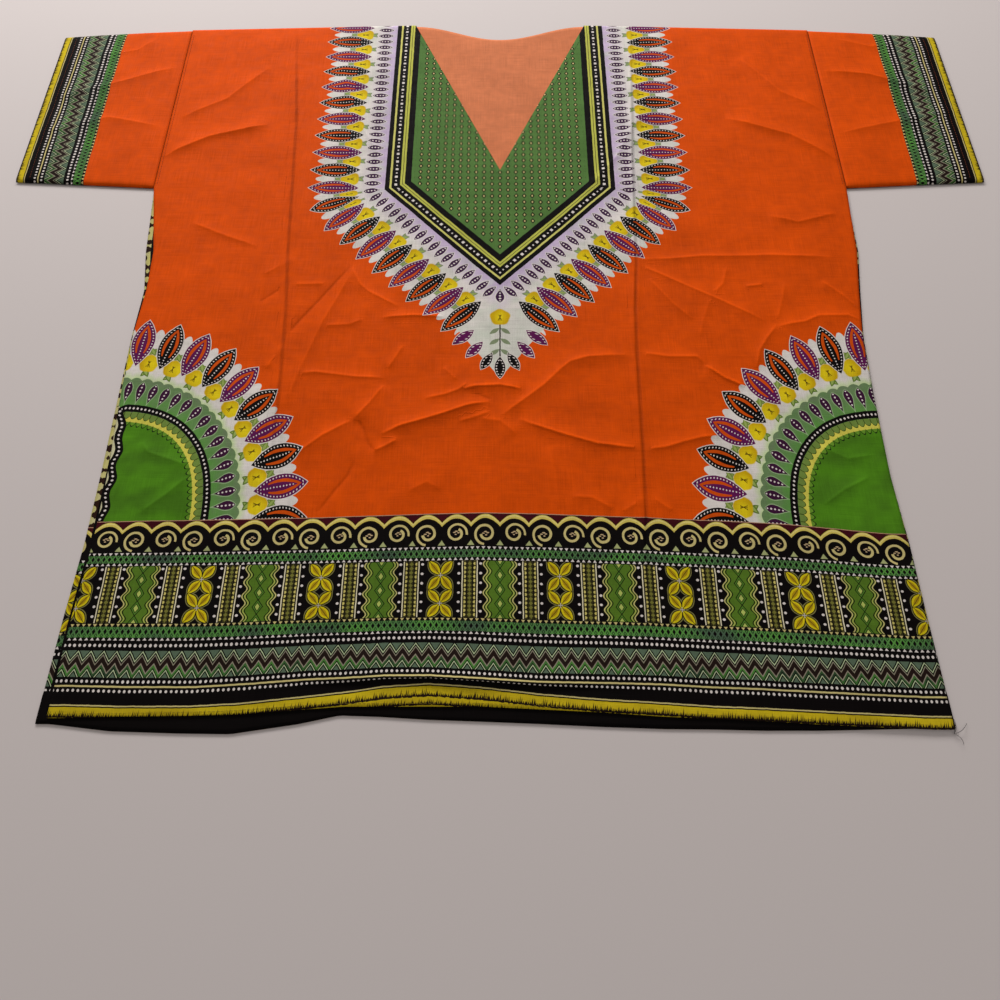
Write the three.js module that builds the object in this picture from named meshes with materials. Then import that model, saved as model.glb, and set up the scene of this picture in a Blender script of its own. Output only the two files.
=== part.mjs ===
// A dashiki shirt laid flat on its back panel, in millimetres.
// X runs across the shirt, Y from the hem to the neck, and Z up from the surface it lies on.
// The front panel lies on the back panel, and each sleeve is a flattened tube beyond an armhole.
import * as THREE from "three";

// The cut of the shirt. Heights are measured from the nominal front hem towards the shoulders.
const LENGTH = 760;
const SHOULDER_DROP = 8;
const NECK_HALF_WIDTH = 95;
const FRONT_NECK_DEPTH = 220;
const BACK_NECK_DEPTH = 22;
const ARMHOLE_X = 346;
const SLEEVE_LENGTH = 140;

// The cloth, and the gap kept where two pieces meet.
const WALL = 1.2;
const SEAM_GAP = 0.3;
const FRONT_BASE = WALL + SEAM_GAP;

// How finely the panels and the sleeves are divided.
const NECK_COLUMNS = 5;
const SIDE_COLUMNS = 13;
const FRONT_ROWS = 36;
const BACK_ROWS = 12;
const ROW_CROWDING = 1.25;
const SLEEVE_STEPS = 8;
const SLEEVE_COLUMNS = 12;
const SLEEVE_EDGE_FADE = 25;

// Half widths of the two panels at each height, up to the underarm. The back shows a strip on the left.
const SIDES = [
  { height: 0, frontLeft: 328, backLeft: 336, frontRight: 327, backRight: 328.5 },
  { height: 80, frontLeft: 327, backLeft: 334, frontRight: 325.5, backRight: 327 },
  { height: 140, frontLeft: 324, backLeft: 331.5, frontRight: 325, backRight: 326.5 },
  { height: 200, frontLeft: 325, backLeft: 331.5, frontRight: 323, backRight: 324 },
  { height: 280, frontLeft: 330, backLeft: 332.5, frontRight: 325, backRight: 326 },
  { height: 340, frontLeft: 331.5, backLeft: 333.5, frontRight: 327.5, backRight: 329 },
  { height: 390, frontLeft: 329, backLeft: 335.5, frontRight: 334, backRight: 336 },
  { height: 435, frontLeft: 331, backLeft: 339, frontRight: 341, backRight: 343 },
  { height: 516, frontLeft: ARMHOLE_X, backLeft: ARMHOLE_X, frontRight: ARMHOLE_X, backRight: ARMHOLE_X },
];

// How far the two hems lie above or below the nominal hem, at places across the shirt.
const HEMS = [
  { across: -336, front: 6, back: 2 },
  { across: -290, front: 7, back: -3 },
  { across: -200, front: 8.5, back: -5 },
  { across: -150, front: 12, back: 2 },
  { across: -120, front: 14, back: 8 },
  { across: -15, front: 14, back: 3.7 },
  { across: 78, front: 10, back: 0 },
  { across: 163, front: 5.6, back: -1.8 },
  { across: 245, front: 1.5, back: -2.6 },
  { across: 330, front: -2, back: -1 },
];

// The largest folds of the upper layer: a soft ridge from one point to another.
const FOLDS = [
  { name: "hem roll, left", x0: -150, y0: 33, x1: -40, y1: 29, rise: 7, reach: 20 },
  { name: "hem roll, right", x0: -40, y0: 29, x1: 110, y1: 26, rise: 6, reach: 18 },
  { name: "pressed fold, left", x0: -222, y0: 690, x1: -181, y1: 243, rise: 3.5, reach: 26 },
  { name: "pressed fold, right", x0: 138, y0: 700, x1: 110, y1: 60, rise: 3.5, reach: 26 },
  { name: "drag to the middle", x0: -173, y0: 220, x1: 16, y1: 286, rise: 4.5, reach: 28 },
  { name: "drag to the right", x0: -17, y0: 250, x1: 184, y1: 233, rise: 4.5, reach: 28 },
  { name: "rise under the yoke", x0: 10, y0: 255, x1: 104, y1: 311, rise: 4, reach: 26 },
  { name: "slant, upper right", x0: 129, y0: 416, x1: 331, y1: 330, rise: 3.5, reach: 26 },
  { name: "slant, upper left", x0: -185, y0: 330, x1: -141, y1: 421, rise: 3.5, reach: 26 },
  { name: "left underarm drag", x0: -400, y0: 560, x1: -250, y1: 590, rise: 6, reach: 34 },
  { name: "right underarm drag", x0: 250, y0: 600, x1: 405, y1: 562, rise: 6, reach: 34 },
  { name: "left sleeve fold", x0: -300, y0: 690, x1: -460, y1: 640, rise: 4, reach: 30 },
  { name: "right sleeve fold", x0: 290, y0: 680, x1: 455, y1: 655, rise: 4, reach: 30 },
];

// The two edges of a flattened sleeve at each distance out from the armhole.
const SLEEVE_SECTIONS = [
  { out: 0, top: 752, bottom: 516 },
  { out: 50, top: 749, bottom: 519 },
  { out: 100, top: 745, bottom: 522 },
  { out: SLEEVE_LENGTH, top: 741, bottom: 524 },
];

const cotton = (color) =>
  new THREE.MeshStandardMaterial({ color, roughness: 0.82, metalness: 0, side: THREE.DoubleSide });
const ORANGE = 0xc8501c;
const DULL_ORANGE = 0xb1481d;

// Reads a column of a table between its rows, and holds its end values beyond them.
function between(table, key, column, at) {
  const next = table.findIndex((row) => row[key] >= at);
  if (next === 0) return table[0][column];
  if (next < 0) return table[table.length - 1][column];
  const low = table[next - 1];
  const high = table[next];
  const share = (at - low[key]) / (high[key] - low[key]);
  return THREE.MathUtils.lerp(low[column], high[column], share);
}

// The height of a ridge at a distance from its line.
function ridge(distance, reach) {
  const share = Math.min(1, distance / reach);
  return (1 - share * share) ** 2;
}

// How far the upper layer of cloth is lifted off the lower one.
function lift(x, y) {
  const here = new THREE.Vector3(x, y, 0);
  const nearest = new THREE.Vector3();
  let height = 0;
  for (const fold of FOLDS) {
    const start = new THREE.Vector3(fold.x0, fold.y0, 0);
    const end = new THREE.Vector3(fold.x1, fold.y1, 0);
    new THREE.Line3(start, end).closestPointToPoint(here, true, nearest);
    height = Math.max(height, fold.rise * ridge(here.distanceTo(nearest), fold.reach));
  }
  return height;
}

// The shoulder line, which falls a little from the neck to the armhole.
function shoulder(x) {
  const beyondNeck = Math.max(0, Math.abs(x) - NECK_HALF_WIDTH);
  return LENGTH - (SHOULDER_DROP * beyondNeck) / (ARMHOLE_X - NECK_HALF_WIDTH);
}

// The top edge of the front, with its V neck.
function frontTop(x) {
  const share = Math.min(1, Math.abs(x) / NECK_HALF_WIDTH);
  return shoulder(x) - FRONT_NECK_DEPTH * (1 - share);
}

// The top edge of the back, with its shallow round neck.
function backTop(x) {
  const share = Math.min(1, Math.abs(x) / NECK_HALF_WIDTH);
  return shoulder(x) - (BACK_NECK_DEPTH * (1 + Math.cos(Math.PI * share))) / 2;
}

// Places across a panel from -1 at the left edge to 1 at the right, with columns at the neck's corners.
function columnShares() {
  const neck = NECK_HALF_WIDTH / ARMHOLE_X;
  const half = [];
  for (let i = 1; i <= NECK_COLUMNS; i++) half.push((neck * i) / NECK_COLUMNS);
  for (let i = 1; i <= SIDE_COLUMNS; i++) half.push(neck + ((1 - neck) * i) / SIDE_COLUMNS);
  return [...half.map((share) => -share).reverse(), 0, ...half];
}

// The points of a panel's lower face, row by row from the hem to the top edge.
function panelPoints({ rows, crowding, hem, top, left, right, base, raise }) {
  const points = [];
  for (let row = 0; row <= rows; row++) {
    const share = (row / rows) ** crowding;
    points.push(
      columnShares().map((column) => {
        const nominal = column * ARMHOLE_X;
        const y = THREE.MathUtils.lerp(between(HEMS, "across", hem, nominal), top(nominal), share);
        const x = column * between(SIDES, "height", column < 0 ? left : right, y);
        return new THREE.Vector3(x, y, base + raise(x, y));
      }),
    );
  }
  return points;
}

// A closed body from a grid of points and the same grid moved up by the wall.
function clothSolid(rows) {
  const wide = rows[0].length;
  const count = rows.length * wide;
  const lower = rows.flat();
  const upper = lower.map((point) => point.clone().setZ(point.z + WALL));
  const index = [];
  const quad = (a, b, c, d) => index.push(a, b, c, a, c, d);
  for (let row = 0; row + 1 < rows.length; row++) {
    for (let column = 0; column + 1 < wide; column++) {
      const a = row * wide + column;
      quad(count + a, count + a + 1, count + a + wide + 1, count + a + wide);
      quad(a, a + wide, a + wide + 1, a + 1);
    }
  }
  const edge = [];
  for (let column = 0; column + 1 < wide; column++) edge.push(column);
  for (let row = 0; row + 1 < rows.length; row++) edge.push(row * wide + wide - 1);
  for (let column = wide - 1; column > 0; column--) edge.push(count - wide + column);
  for (let row = rows.length - 1; row > 0; row--) edge.push(row * wide);
  edge.forEach((from, i) => {
    const to = edge[(i + 1) % edge.length];
    quad(from, to, count + to, count + from);
  });
  return new THREE.BufferGeometry().setFromPoints([...lower, ...upper]).setIndex(index);
}

// One ring of a flattened sleeve: along the lower layer, round the top fold, back along the upper layer.
function sleeveRing(x, top, bottom, inset) {
  const lowerZ = inset;
  const upperZ = 2 * WALL + SEAM_GAP - inset;
  const middleZ = WALL + SEAM_GAP / 2;
  const ring = [];
  const first = bottom + WALL + inset;
  const last = top - WALL - inset;
  const place = (column) => THREE.MathUtils.lerp(first, last, column / SLEEVE_COLUMNS);
  for (let column = 0; column <= SLEEVE_COLUMNS; column++) {
    ring.push(new THREE.Vector3(x, place(column), lowerZ));
  }
  ring.push(new THREE.Vector3(x, top - inset, middleZ));
  for (let column = SLEEVE_COLUMNS; column >= 0; column--) {
    const y = place(column);
    const fade = Math.min(1, Math.min(y - bottom, top - y) / SLEEVE_EDGE_FADE);
    ring.push(new THREE.Vector3(x, y, upperZ + fade * lift(x, y)));
  }
  ring.push(new THREE.Vector3(x, bottom + inset, middleZ));
  return ring;
}

// A sleeve as an open tube: its outer and inner surfaces, joined at the armhole and at the cuff.
function sleeveSolid(side) {
  const outer = [];
  const inner = [];
  for (let step = 0; step <= SLEEVE_STEPS; step++) {
    const out = (SLEEVE_LENGTH * step) / SLEEVE_STEPS;
    const x = side * (ARMHOLE_X + SEAM_GAP + out);
    const top = between(SLEEVE_SECTIONS, "out", "top", out);
    const bottom = between(SLEEVE_SECTIONS, "out", "bottom", out);
    outer.push(sleeveRing(x, top, bottom, 0));
    inner.push(sleeveRing(x, top, bottom, WALL));
  }
  const around = outer[0].length;
  const count = outer.length * around;
  const last = (outer.length - 1) * around;
  const index = [];
  const quad = (a, b, c, d) => (side > 0 ? index.push(a, b, c, a, c, d) : index.push(a, c, b, a, d, c));
  for (let i = 0; i < around; i++) {
    const j = (i + 1) % around;
    for (let start = 0; start < last; start += around) {
      quad(start + i, start + j, start + around + j, start + around + i);
      quad(count + start + i, count + start + around + i, count + start + around + j, count + start + j);
    }
    quad(i, count + i, count + j, j);
    quad(last + i, last + j, count + last + j, count + last + i);
  }
  return new THREE.BufferGeometry().setFromPoints([...outer.flat(), ...inner.flat()]).setIndex(index);
}

function piece(name, geometry, color) {
  geometry.computeVertexNormals();
  const mesh = new THREE.Mesh(geometry, cotton(color));
  mesh.name = name;
  return mesh;
}

const backPanel = clothSolid(
  panelPoints({
    rows: BACK_ROWS,
    crowding: 1,
    hem: "back",
    top: backTop,
    left: "backLeft",
    right: "backRight",
    base: 0,
    raise: () => 0,
  }),
);
const frontPanel = clothSolid(
  panelPoints({
    rows: FRONT_ROWS,
    crowding: ROW_CROWDING,
    hem: "front",
    top: frontTop,
    left: "frontLeft",
    right: "frontRight",
    base: FRONT_BASE,
    raise: lift,
  }),
);

const shirt = new THREE.Group();
shirt.add(
  piece("back_panel", backPanel, DULL_ORANGE),
  piece("front_panel", frontPanel, ORANGE),
  piece("left_sleeve", sleeveSolid(-1), ORANGE),
  piece("right_sleeve", sleeveSolid(1), ORANGE),
);

// The origin is under the middle of the laid shirt, on the surface that it lies on.
const extent = new THREE.Box3().setFromObject(shirt);
const middle = extent.getCenter(new THREE.Vector3());
shirt.position.set(-middle.x, -middle.y, -extent.min.z);

export default shirt;
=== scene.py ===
"""A dashiki shirt laid flat: printed cotton panels and sleeves, with their folds, hems and stitches."""
import math

import bpy
import numpy as np
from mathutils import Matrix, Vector


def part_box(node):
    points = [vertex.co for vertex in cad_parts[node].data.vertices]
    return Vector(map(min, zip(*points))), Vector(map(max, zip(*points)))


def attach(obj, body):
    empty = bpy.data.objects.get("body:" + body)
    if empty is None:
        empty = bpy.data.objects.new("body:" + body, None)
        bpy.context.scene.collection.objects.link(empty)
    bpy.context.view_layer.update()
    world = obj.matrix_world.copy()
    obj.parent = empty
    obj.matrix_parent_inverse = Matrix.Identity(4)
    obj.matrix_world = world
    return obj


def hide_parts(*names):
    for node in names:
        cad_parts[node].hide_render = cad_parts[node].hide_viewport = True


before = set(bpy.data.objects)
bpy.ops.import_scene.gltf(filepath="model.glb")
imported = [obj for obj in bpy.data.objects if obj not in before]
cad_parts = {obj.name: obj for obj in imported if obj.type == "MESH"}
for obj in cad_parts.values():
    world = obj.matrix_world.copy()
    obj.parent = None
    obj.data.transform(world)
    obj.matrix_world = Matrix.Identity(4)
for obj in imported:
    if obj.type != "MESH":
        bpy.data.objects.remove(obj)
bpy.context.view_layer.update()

# ---------------------------------------------------------------------------------------------------
# Sizes. Lengths on the cloth are in millimetres: across from the middle, and up from the nominal hem.
# ---------------------------------------------------------------------------------------------------
MM = 0.001
LENGTH = 760
SHOULDER_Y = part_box("front_panel")[1][1]
HEM_Y = SHOULDER_Y - LENGTH * MM
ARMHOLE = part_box("front_panel")[1][0] / MM
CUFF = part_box("right_sleeve")[1][0] / MM
NECK = 95
FRONT_NECK_DEPTH = 220
BACK_NECK_DEPTH = 22
SHOULDER_DROP = 8
HEM_ALLOWANCE = 25
SLEEVE_LOW = 516
# The cloth's thickness, the height that the front lies at, and how close the points of the meshes are.
CLOTH, FRONT_Z = 0.7, 1.6
SPACING, BACK_SPACING, SLEEVE_SPACING = 2.6, 4.5, 3.0
LINING_STEP = 3

# Half widths of the panels at each height.
SIDES = {
    "height": (0, 80, 140, 200, 280, 340, 390, 435, SLEEVE_LOW),
    "front_left": (328, 327, 324, 325, 330, 331.5, 329, 331, ARMHOLE),
    "back_left": (336, 334, 331.5, 331.5, 332.5, 333.2, 331.8, 339, ARMHOLE),
    "front_right": (327, 325.5, 325, 323, 325, 327.5, 334, 341, ARMHOLE),
    "back_right": (328.5, 327, 326.5, 324, 326, 329, 336, 343, ARMHOLE),
}
# Where the two hems lie, and how far up the print has moved at its hem lines, blocks and top border.
HEMS = {
    "across": (-336, -290, -240, -200, -150, -120, -90, -55, -15, 32, 78, 125, 163, 200, 245, 330),
    "front": (6, 7, 7.5, 8.5, 12, 14, 14, 14, 14, 12, 10, 7, 5.6, 4, 1.5, -2),
    "back": (2, -3, -4.5, -5, 2, 8, 7, 5, 3.7, 2, 0, -1.5, -1.8, -2.6, -2.6, -1),
    "at_lines": (6.5, 5.5, 5.5, 7.5, 12.5, 15.5, 19.6, 21.6, 19, 14, 10.5, 8, 5.5, 4.2, 2, -1.7),
    "at_blocks": (6, 6.4, 6.8, 7.2, 8, 8.6, 9.2, 9.6, 10, 9, 7.5, 6, 4.4, 2.8, 0.6, -4),
    "at_border": (4, 4.8, 5.7, 6.5, 7.7, 8.6, 9.6, 10.8, 11.8, 11, 9.2, 7.4, 5.7, 4, 1.8, -6.4),
    "tuck": (0, 0, 0, 0, 1.5, 3.5, 6, 8, 7.5, 5, 2, 0.5, 0, 0, 0, 0),
}
# Heights of the print's bands above the nominal hem.
HEM_YELLOW, PIPING, TUCK_LOW, TUCK_HIGH = 7.1, 8.5, 12.5, 21
LINES, ZIGZAG, DOTS, LACE = 17.3, 28.2, 48.8, 55.3
BLOCKS, UPPER_LACE, SPIRALS, BORDER = 69.1, 114.5, 126.6, 154
BAND_EDGES = (PIPING, LINES, ZIGZAG, DOTS, LACE, BLOCKS, UPPER_LACE, SPIRALS, BORDER)
SLEEVE_BORDER = BLOCKS
# How often each motif comes round along its band.
DOT_PITCH, ZIGZAG_PITCH, LACE_PITCH = 3.8, 9.7, 4.386
BLOCK_PITCH, CHAIN_PITCH, SCROLL_PITCH = 92.9, 11.35, 23.2


# ---------------------------------------------------------------------------------------------------
# Shader values: arithmetic on a Value adds Math nodes to its tree.
# ---------------------------------------------------------------------------------------------------
def feed(tree, slot, value):
    """Links a Value to a socket, or sets the socket to a plain number or colour."""
    if isinstance(value, Value):
        tree.links.new(value.socket, slot)
    else:
        slot.default_value = value


class Value:
    """A number or colour that changes over the cloth."""

    def __init__(self, tree, socket):
        self.tree = tree
        self.socket = socket

    def math(self, operation, *others, first=None):
        node = self.tree.nodes.new("ShaderNodeMath")
        node.operation = operation
        for slot, value in zip(node.inputs, (self if first is None else first, *others)):
            feed(self.tree, slot, value)
        return Value(self.tree, node.outputs[0])

    def __add__(self, other):
        return self.math("ADD", other)

    def __sub__(self, other):
        return self.math("SUBTRACT", other)

    def __rsub__(self, other):
        return self.math("SUBTRACT", self, first=other)

    def __mul__(self, other):
        return self.math("MULTIPLY", other)

    def __truediv__(self, other):
        return self.math("DIVIDE", other)

    __radd__, __rmul__ = __add__, __mul__

    def size(self):
        return self.math("ABSOLUTE")

    def nearest(self):
        return self.math("ROUND")

    def sine(self):
        return self.math("SINE")

    def least(self, other):
        return self.math("MINIMUM", other)

    def most(self, other):
        return self.math("MAXIMUM", other)

    def power(self, other):
        return self.math("POWER", other)

    def over(self, other):
        return self.math("GREATER_THAN", other)

    def under(self, other):
        return self.math("LESS_THAN", other)

    def clamped(self):
        return self.most(0).least(1)


INK_EDGE = 0.22


def inside(distance):
    """A mask of where a signed distance is above nought, with an edge as soft as printed ink."""
    return (distance / INK_EDGE + 0.5).clamped()


class Outputs:
    """A placed effect's results, by name."""

    def __init__(self, tree, node):
        for socket in node.outputs:
            setattr(self, socket.name.lower().replace(" ", "_"), Value(tree, socket))


def effect(name, outputs, **inputs):
    """Draws a function into a node group with named inputs and outputs, and returns what places it."""
    def draw_group(draw):
        group = bpy.data.node_groups.new(name, "ShaderNodeTree")
        for key, start in inputs.items():
            kind = "NodeSocketColor" if isinstance(start, tuple) else "NodeSocketFloat"
            socket = group.interface.new_socket(name=key.replace("_", " "), in_out="INPUT", socket_type=kind)
            socket.default_value = start
        for key in outputs:
            kind = "NodeSocketColor" if key == "Colour" else "NodeSocketFloat"
            group.interface.new_socket(name=key, in_out="OUTPUT", socket_type=kind)
        source = group.nodes.new("NodeGroupInput")
        sink = group.nodes.new("NodeGroupOutput")
        given = [Value(group, socket) for socket in source.outputs if socket.name]
        made = draw(group, *given)
        for key, value in zip(outputs, made if isinstance(made, tuple) else (made,)):
            feed(group, sink.inputs[key], value)

        def place(tree, *values):
            node = tree.nodes.new("ShaderNodeGroup")
            node.node_tree = group
            for slot, value in zip(node.inputs, values):
                feed(tree, slot, value)
            found = Outputs(tree, node)
            return getattr(found, outputs[0].lower().replace(" ", "_")) if len(outputs) == 1 else found
        return place
    return draw_group


def noise(tree, x, y, detail=1.0, roughness=0.5):
    """Smooth noise from 0 to 1 with features about one unit wide."""
    at = tree.nodes.new("ShaderNodeCombineXYZ")
    feed(tree, at.inputs[0], x)
    feed(tree, at.inputs[1], y)
    node = tree.nodes.new("ShaderNodeTexNoise")
    node.noise_dimensions = "2D"
    node.inputs["Scale"].default_value = 1.0
    node.inputs["Detail"].default_value = detail
    node.inputs["Roughness"].default_value = roughness
    tree.links.new(at.outputs[0], node.inputs["Vector"])
    return Value(tree, node.outputs[0])


def chance(tree, x, y=0.0):
    """A different number from 0 to 1 for each whole x and y."""
    at = tree.nodes.new("ShaderNodeCombineXYZ")
    feed(tree, at.inputs[0], x)
    feed(tree, at.inputs[1], y)
    node = tree.nodes.new("ShaderNodeTexWhiteNoise")
    node.noise_dimensions = "2D"
    tree.links.new(at.outputs[0], node.inputs["Vector"])
    return Value(tree, node.outputs[0])


def blend_value(one, other, mask):
    """The value one where mask is 0, and other where it is 1."""
    return one + (other - one) * mask


def blend(tree, under, over, mask):
    """The colour under with the colour over laid on it where mask is 1."""
    node = tree.nodes.new("ShaderNodeMix")
    node.data_type = "RGBA"
    feed(tree, node.inputs[0], mask)
    feed(tree, node.inputs[6], under)
    feed(tree, node.inputs[7], over)
    return Value(tree, node.outputs[2])


def dye(red, green, blue):
    """A printed colour, given as it looks on a screen from 0 to 255."""
    def linear(level):
        share = level / 255
        return share / 12.92 if share <= 0.04045 else ((share + 0.055) / 1.055) ** 2.4
    return (linear(red), linear(green), linear(blue), 1.0)


ORANGE = dye(220, 78, 2)
GREEN = dye(82, 138, 26)
BAND_GREEN = dye(84, 120, 60)
BLOCK_GREEN = dye(86, 118, 36)
YELLOW = dye(214, 194, 24)
CREAM = dye(206, 190, 126)
WHITE = dye(226, 216, 210)
OFF_WHITE = dye(222, 214, 208)
MAROON = dye(64, 12, 22)
PLUM = dye(92, 22, 78)
LILAC = dye(196, 176, 204)
LEAF_GREEN = dye(112, 132, 56)
SAGE = dye(128, 138, 112)
PALE_SAGE = dye(196, 202, 186)
BLACK = dye(12, 8, 8)
INK_BROWN = dye(34, 22, 18)


# ---------------------------------------------------------------------------------------------------
# Shared effects. Places and sizes are in millimetres on the cloth.
# ---------------------------------------------------------------------------------------------------
@effect("Place on the cloth", ("Across", "Up"), Wobble=0.25)
def cloth_place(tree, wobble):
    """Where a point lies on the flat cloth, with a slight wobble that leaves printed edges uneven."""
    flat = tree.nodes.new("ShaderNodeUVMap")
    flat.uv_map = "print"
    parts = tree.nodes.new("ShaderNodeSeparateXYZ")
    tree.links.new(flat.outputs[0], parts.inputs[0])
    across = Value(tree, parts.outputs[0]) * (1 / MM)
    up = Value(tree, parts.outputs[1]) * (1 / MM)
    shake = noise(tree, across * 0.16, up * 0.16) - 0.5
    stir = noise(tree, across * 0.19 + 40, up * 0.19 + 7) - 0.5
    return across + shake * wobble * 2, up + stir * wobble * 2


@effect("Repeat", ("Local", "Count"), Place=0.0, Period=1.0)
def repeat(tree, place, period):
    """The place measured from the middle of its nearest repeat, and which repeat that is."""
    count = (place / period).nearest()
    return place - count * period, count


@effect("Disc", ("Mask",), X=0.0, Y=0.0, Half_width=1.0, Half_height=1.0)
def disc(tree, x, y, half_width, half_height):
    """A round or oval spot."""
    tall = y * half_width / half_height
    return inside(half_width - (x * x + tall * tall).power(0.5))


@effect("Stroke", ("Mask",), Distance=0.0, Half_width=0.5)
def stroke(tree, distance, half_width):
    """A line along where the distance is nought."""
    return inside(half_width - distance.size())


@effect("Leaf", ("Mask", "Inside"), Along=0.0, Across=0.0, Half_length=4.0, Half_width=1.5)
def leaf(tree, along, across, half_length, half_width):
    """A leaf pointed at both ends, and how deep inside its outline a place is."""
    share = along / half_length
    depth = half_width * (1 - share * share) - across.size()
    return inside(depth), depth


@effect("Lozenge", ("Mask",), X=0.0, Y=0.0, Half_width=1.0, Half_height=1.0)
def lozenge(tree, x, y, half_width, half_height):
    """A diamond."""
    reach = 1 - x.size() / half_width - y.size() / half_height
    return inside(reach * half_width.least(half_height) * 0.8)


@effect("Zigzag", ("Height",), Place=0.0, Period=10.0)
def zigzag(tree, place, period):
    """Goes from -1 in a valley to 1 on a peak."""
    count = (place / period).nearest()
    return (place / period - count).size() * 4 - 1


@effect("Scroll", ("Mask",), X=0.0, Y=0.0, Pitch=4.3, Half_width=1.1, Start=0.0)
def scroll(tree, x, y, pitch, half_width, start):
    """A spiral stroke that winds round an open core, and ends outside at the angle of its start."""
    radius = (x * x + y * y).power(0.5)
    turn = y.math("ARCTAN2", x) / (2 * math.pi) - start
    turn = turn - turn.math("FLOOR")
    winding = (radius / pitch - turn).nearest()
    length = winding + turn
    off = radius - length * pitch
    shown = length.over(0.80) * length.under(2.0)
    return inside(half_width * (1.35 - length * 0.2) - off.size()) * shown


@effect("Weave", ("Tone", "Height"), Across=0.0, Up=0.0)
def weave(tree, across, up):
    """Uneven warp and weft threads, as lighter and darker streaks along and across the cloth."""
    warp = noise(tree, across * 1.7, up * 0.035, 1.0)
    weft = noise(tree, across * 0.03 + 9, up * 1.9, 1.0)
    thread = noise(tree, across * 2.6, up * 2.6, 0.0)
    tone = (warp + weft - 1) + (thread - 0.5) * 0.45
    return tone, tone


@effect("Dyed cloth", ("Colour", "Roughness"),
        Ink=(0.5, 0.5, 0.5, 1.0), Across=0.0, Up=0.0, Tone=0.0, Crease=0.0)
def dyed_cloth(tree, ink, across, up, tone, crease):
    """Ink taken up unevenly by threads and in patches, with painted light on crease ridges and painted shade
    in crease troughs.
    """
    patch = noise(tree, across * 0.021, up * 0.026, 2.0, 0.6) - 0.5
    cloud = noise(tree, across * 0.11, up * 0.13, 1.0) - 0.5
    # The crease term is painted light and shade: it lightens the colour along ridge lines and darkens it
    # along troughs.
    strength = 1 + tone * 0.26 + patch * 0.34 + cloud * 0.2 + crease * 0.34
    scaled = tree.nodes.new("ShaderNodeVectorMath")
    scaled.operation = "SCALE"
    feed(tree, scaled.inputs[0], ink)
    feed(tree, scaled.inputs["Scale"], strength)
    return Value(tree, scaled.outputs[0]), 0.78 - tone * 0.2 + cloud * 0.12


@effect("Cloth relief", ("Height", "Crease"), Thread_height=0.0)
def cloth_relief(tree, thread_height):
    """The weave and the sharp line along each pressed or rumpled crease, in millimetres, as a bump height;
    and that line alone, for painted light on ridges and painted shade in troughs.
    """
    def read(name):
        node = tree.nodes.new("ShaderNodeAttribute")
        node.attribute_name = name
        return Value(tree, node.outputs["Fac"])
    off = read("crease_offset")
    depth = read("crease_depth")
    sharpness = 0.35
    line = ((off * off) * -sharpness).math("EXPONENT")
    # The second output feeds painted crease light and shade into the cloth's colour.
    return thread_height * 0.06 + depth * line, depth * line


def beads(tree, along, off, pitch, radius):
    """A row of dots."""
    return disc(tree, repeat(tree, along, pitch).local, off, radius * 0.94, radius * 1.06)


# ---------------------------------------------------------------------------------------------------
# The print, band by band. Each function draws the colour of one band from the place on the cloth.
# ---------------------------------------------------------------------------------------------------
def plain_ground(tree, across, up):
    """Plain orange."""
    return ORANGE


def hem_lines(tree, across, up):
    """Black with two rows of dots, cream lines, and a yellow edge with ragged brush strokes."""
    upper_dots = beads(tree, across, up - 25.8, DOT_PITCH, 1.05)
    lower_dots = beads(tree, across + 1.2, up - 19.0, DOT_PITCH, 1.0)
    colour = blend(tree, BLACK, WHITE, upper_dots.most(lower_dots))
    for height, half_width in ((22.2, 0.62), (PIPING, 0.5)):
        colour = blend(tree, colour, CREAM, stroke(tree, up - height, half_width))
    band = inside(HEM_YELLOW - up) * inside(up + 14.5)
    gold = blend(tree, dye(232, 206, 34), dye(178, 152, 26), noise(tree, across * 0.02, up * 0.09))
    colour = blend(tree, colour, gold, band)
    # Brush strokes: where each row stands, how wide its strokes are and how tall the tallest is.
    for base, width, tallest in ((0.2, 1.3, 5.6), (0.2, 2.1, 4.4), (-5.6, 1.3, 4.2), (-5.6, 2.1, 3.6)):
        cell = repeat(tree, across - up * 0.12 + width, width)
        height = (chance(tree, cell.count, base).power(2.0) * 0.72 + 0.28) * tallest
        above = up - base
        taper = 0.66 * (1 - above / (height + 0.5))
        colour = blend(tree, colour, INK_BROWN, inside(taper - cell.local.size()) * inside(above))
        ragged = 0.15 + chance(tree, cell.count, base + 3) * 0.75
        colour = blend(tree, colour, INK_BROWN, inside(ragged - above.size()))
    return colour


def zigzag_band(tree, across, up):
    """A thick dark zigzag between pale ones, with nested chevrons above and below it on patchy green."""
    rise, run = 3.6, ZIGZAG_PITCH / 4
    square_on = run / math.hypot(rise, run)
    off = (up - (ZIGZAG + DOTS) / 2 - zigzag(tree, across, ZIGZAG_PITCH) * rise) * square_on
    patch = noise(tree, across * 0.03, up * 0.05 + 5, 1.0)
    colour = blend(tree, dye(76, 130, 56), dye(44, 66, 44), (patch * 2.4 - 0.7).clamped())
    colour = blend(tree, colour, dye(90, 108, 88), inside(off - 3.9) + inside(-1 * off - 5.1))
    colour = blend(tree, colour, dye(36, 24, 20), inside(off + 1.5) * inside(1.4 - off))
    grey, pale = dye(150, 140, 122), dye(196, 210, 166)
    above = ((1.7, 0.3, grey), (2.45, 0.46, BLACK), (3.2, 0.3, pale), (3.9, 0.42, BLACK))
    below = ((1.8, 0.36, grey), (3.85, 0.4, BLACK), (4.5, 0.3, pale), (5.15, 0.42, BLACK))
    for away, lines in ((off, above), (-1 * off, below)):
        for distance, half_width, ink in lines:
            colour = blend(tree, colour, ink, stroke(tree, away - distance, half_width))
    for edge in (ZIGZAG, DOTS):
        colour = blend(tree, colour, BLACK, stroke(tree, up - edge, 0.5))
    return colour


def dot_row(tree, across, up):
    """White dots on black."""
    return blend(tree, BLACK, WHITE, beads(tree, across, up - 52.2, DOT_PITCH, 1.12))


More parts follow.
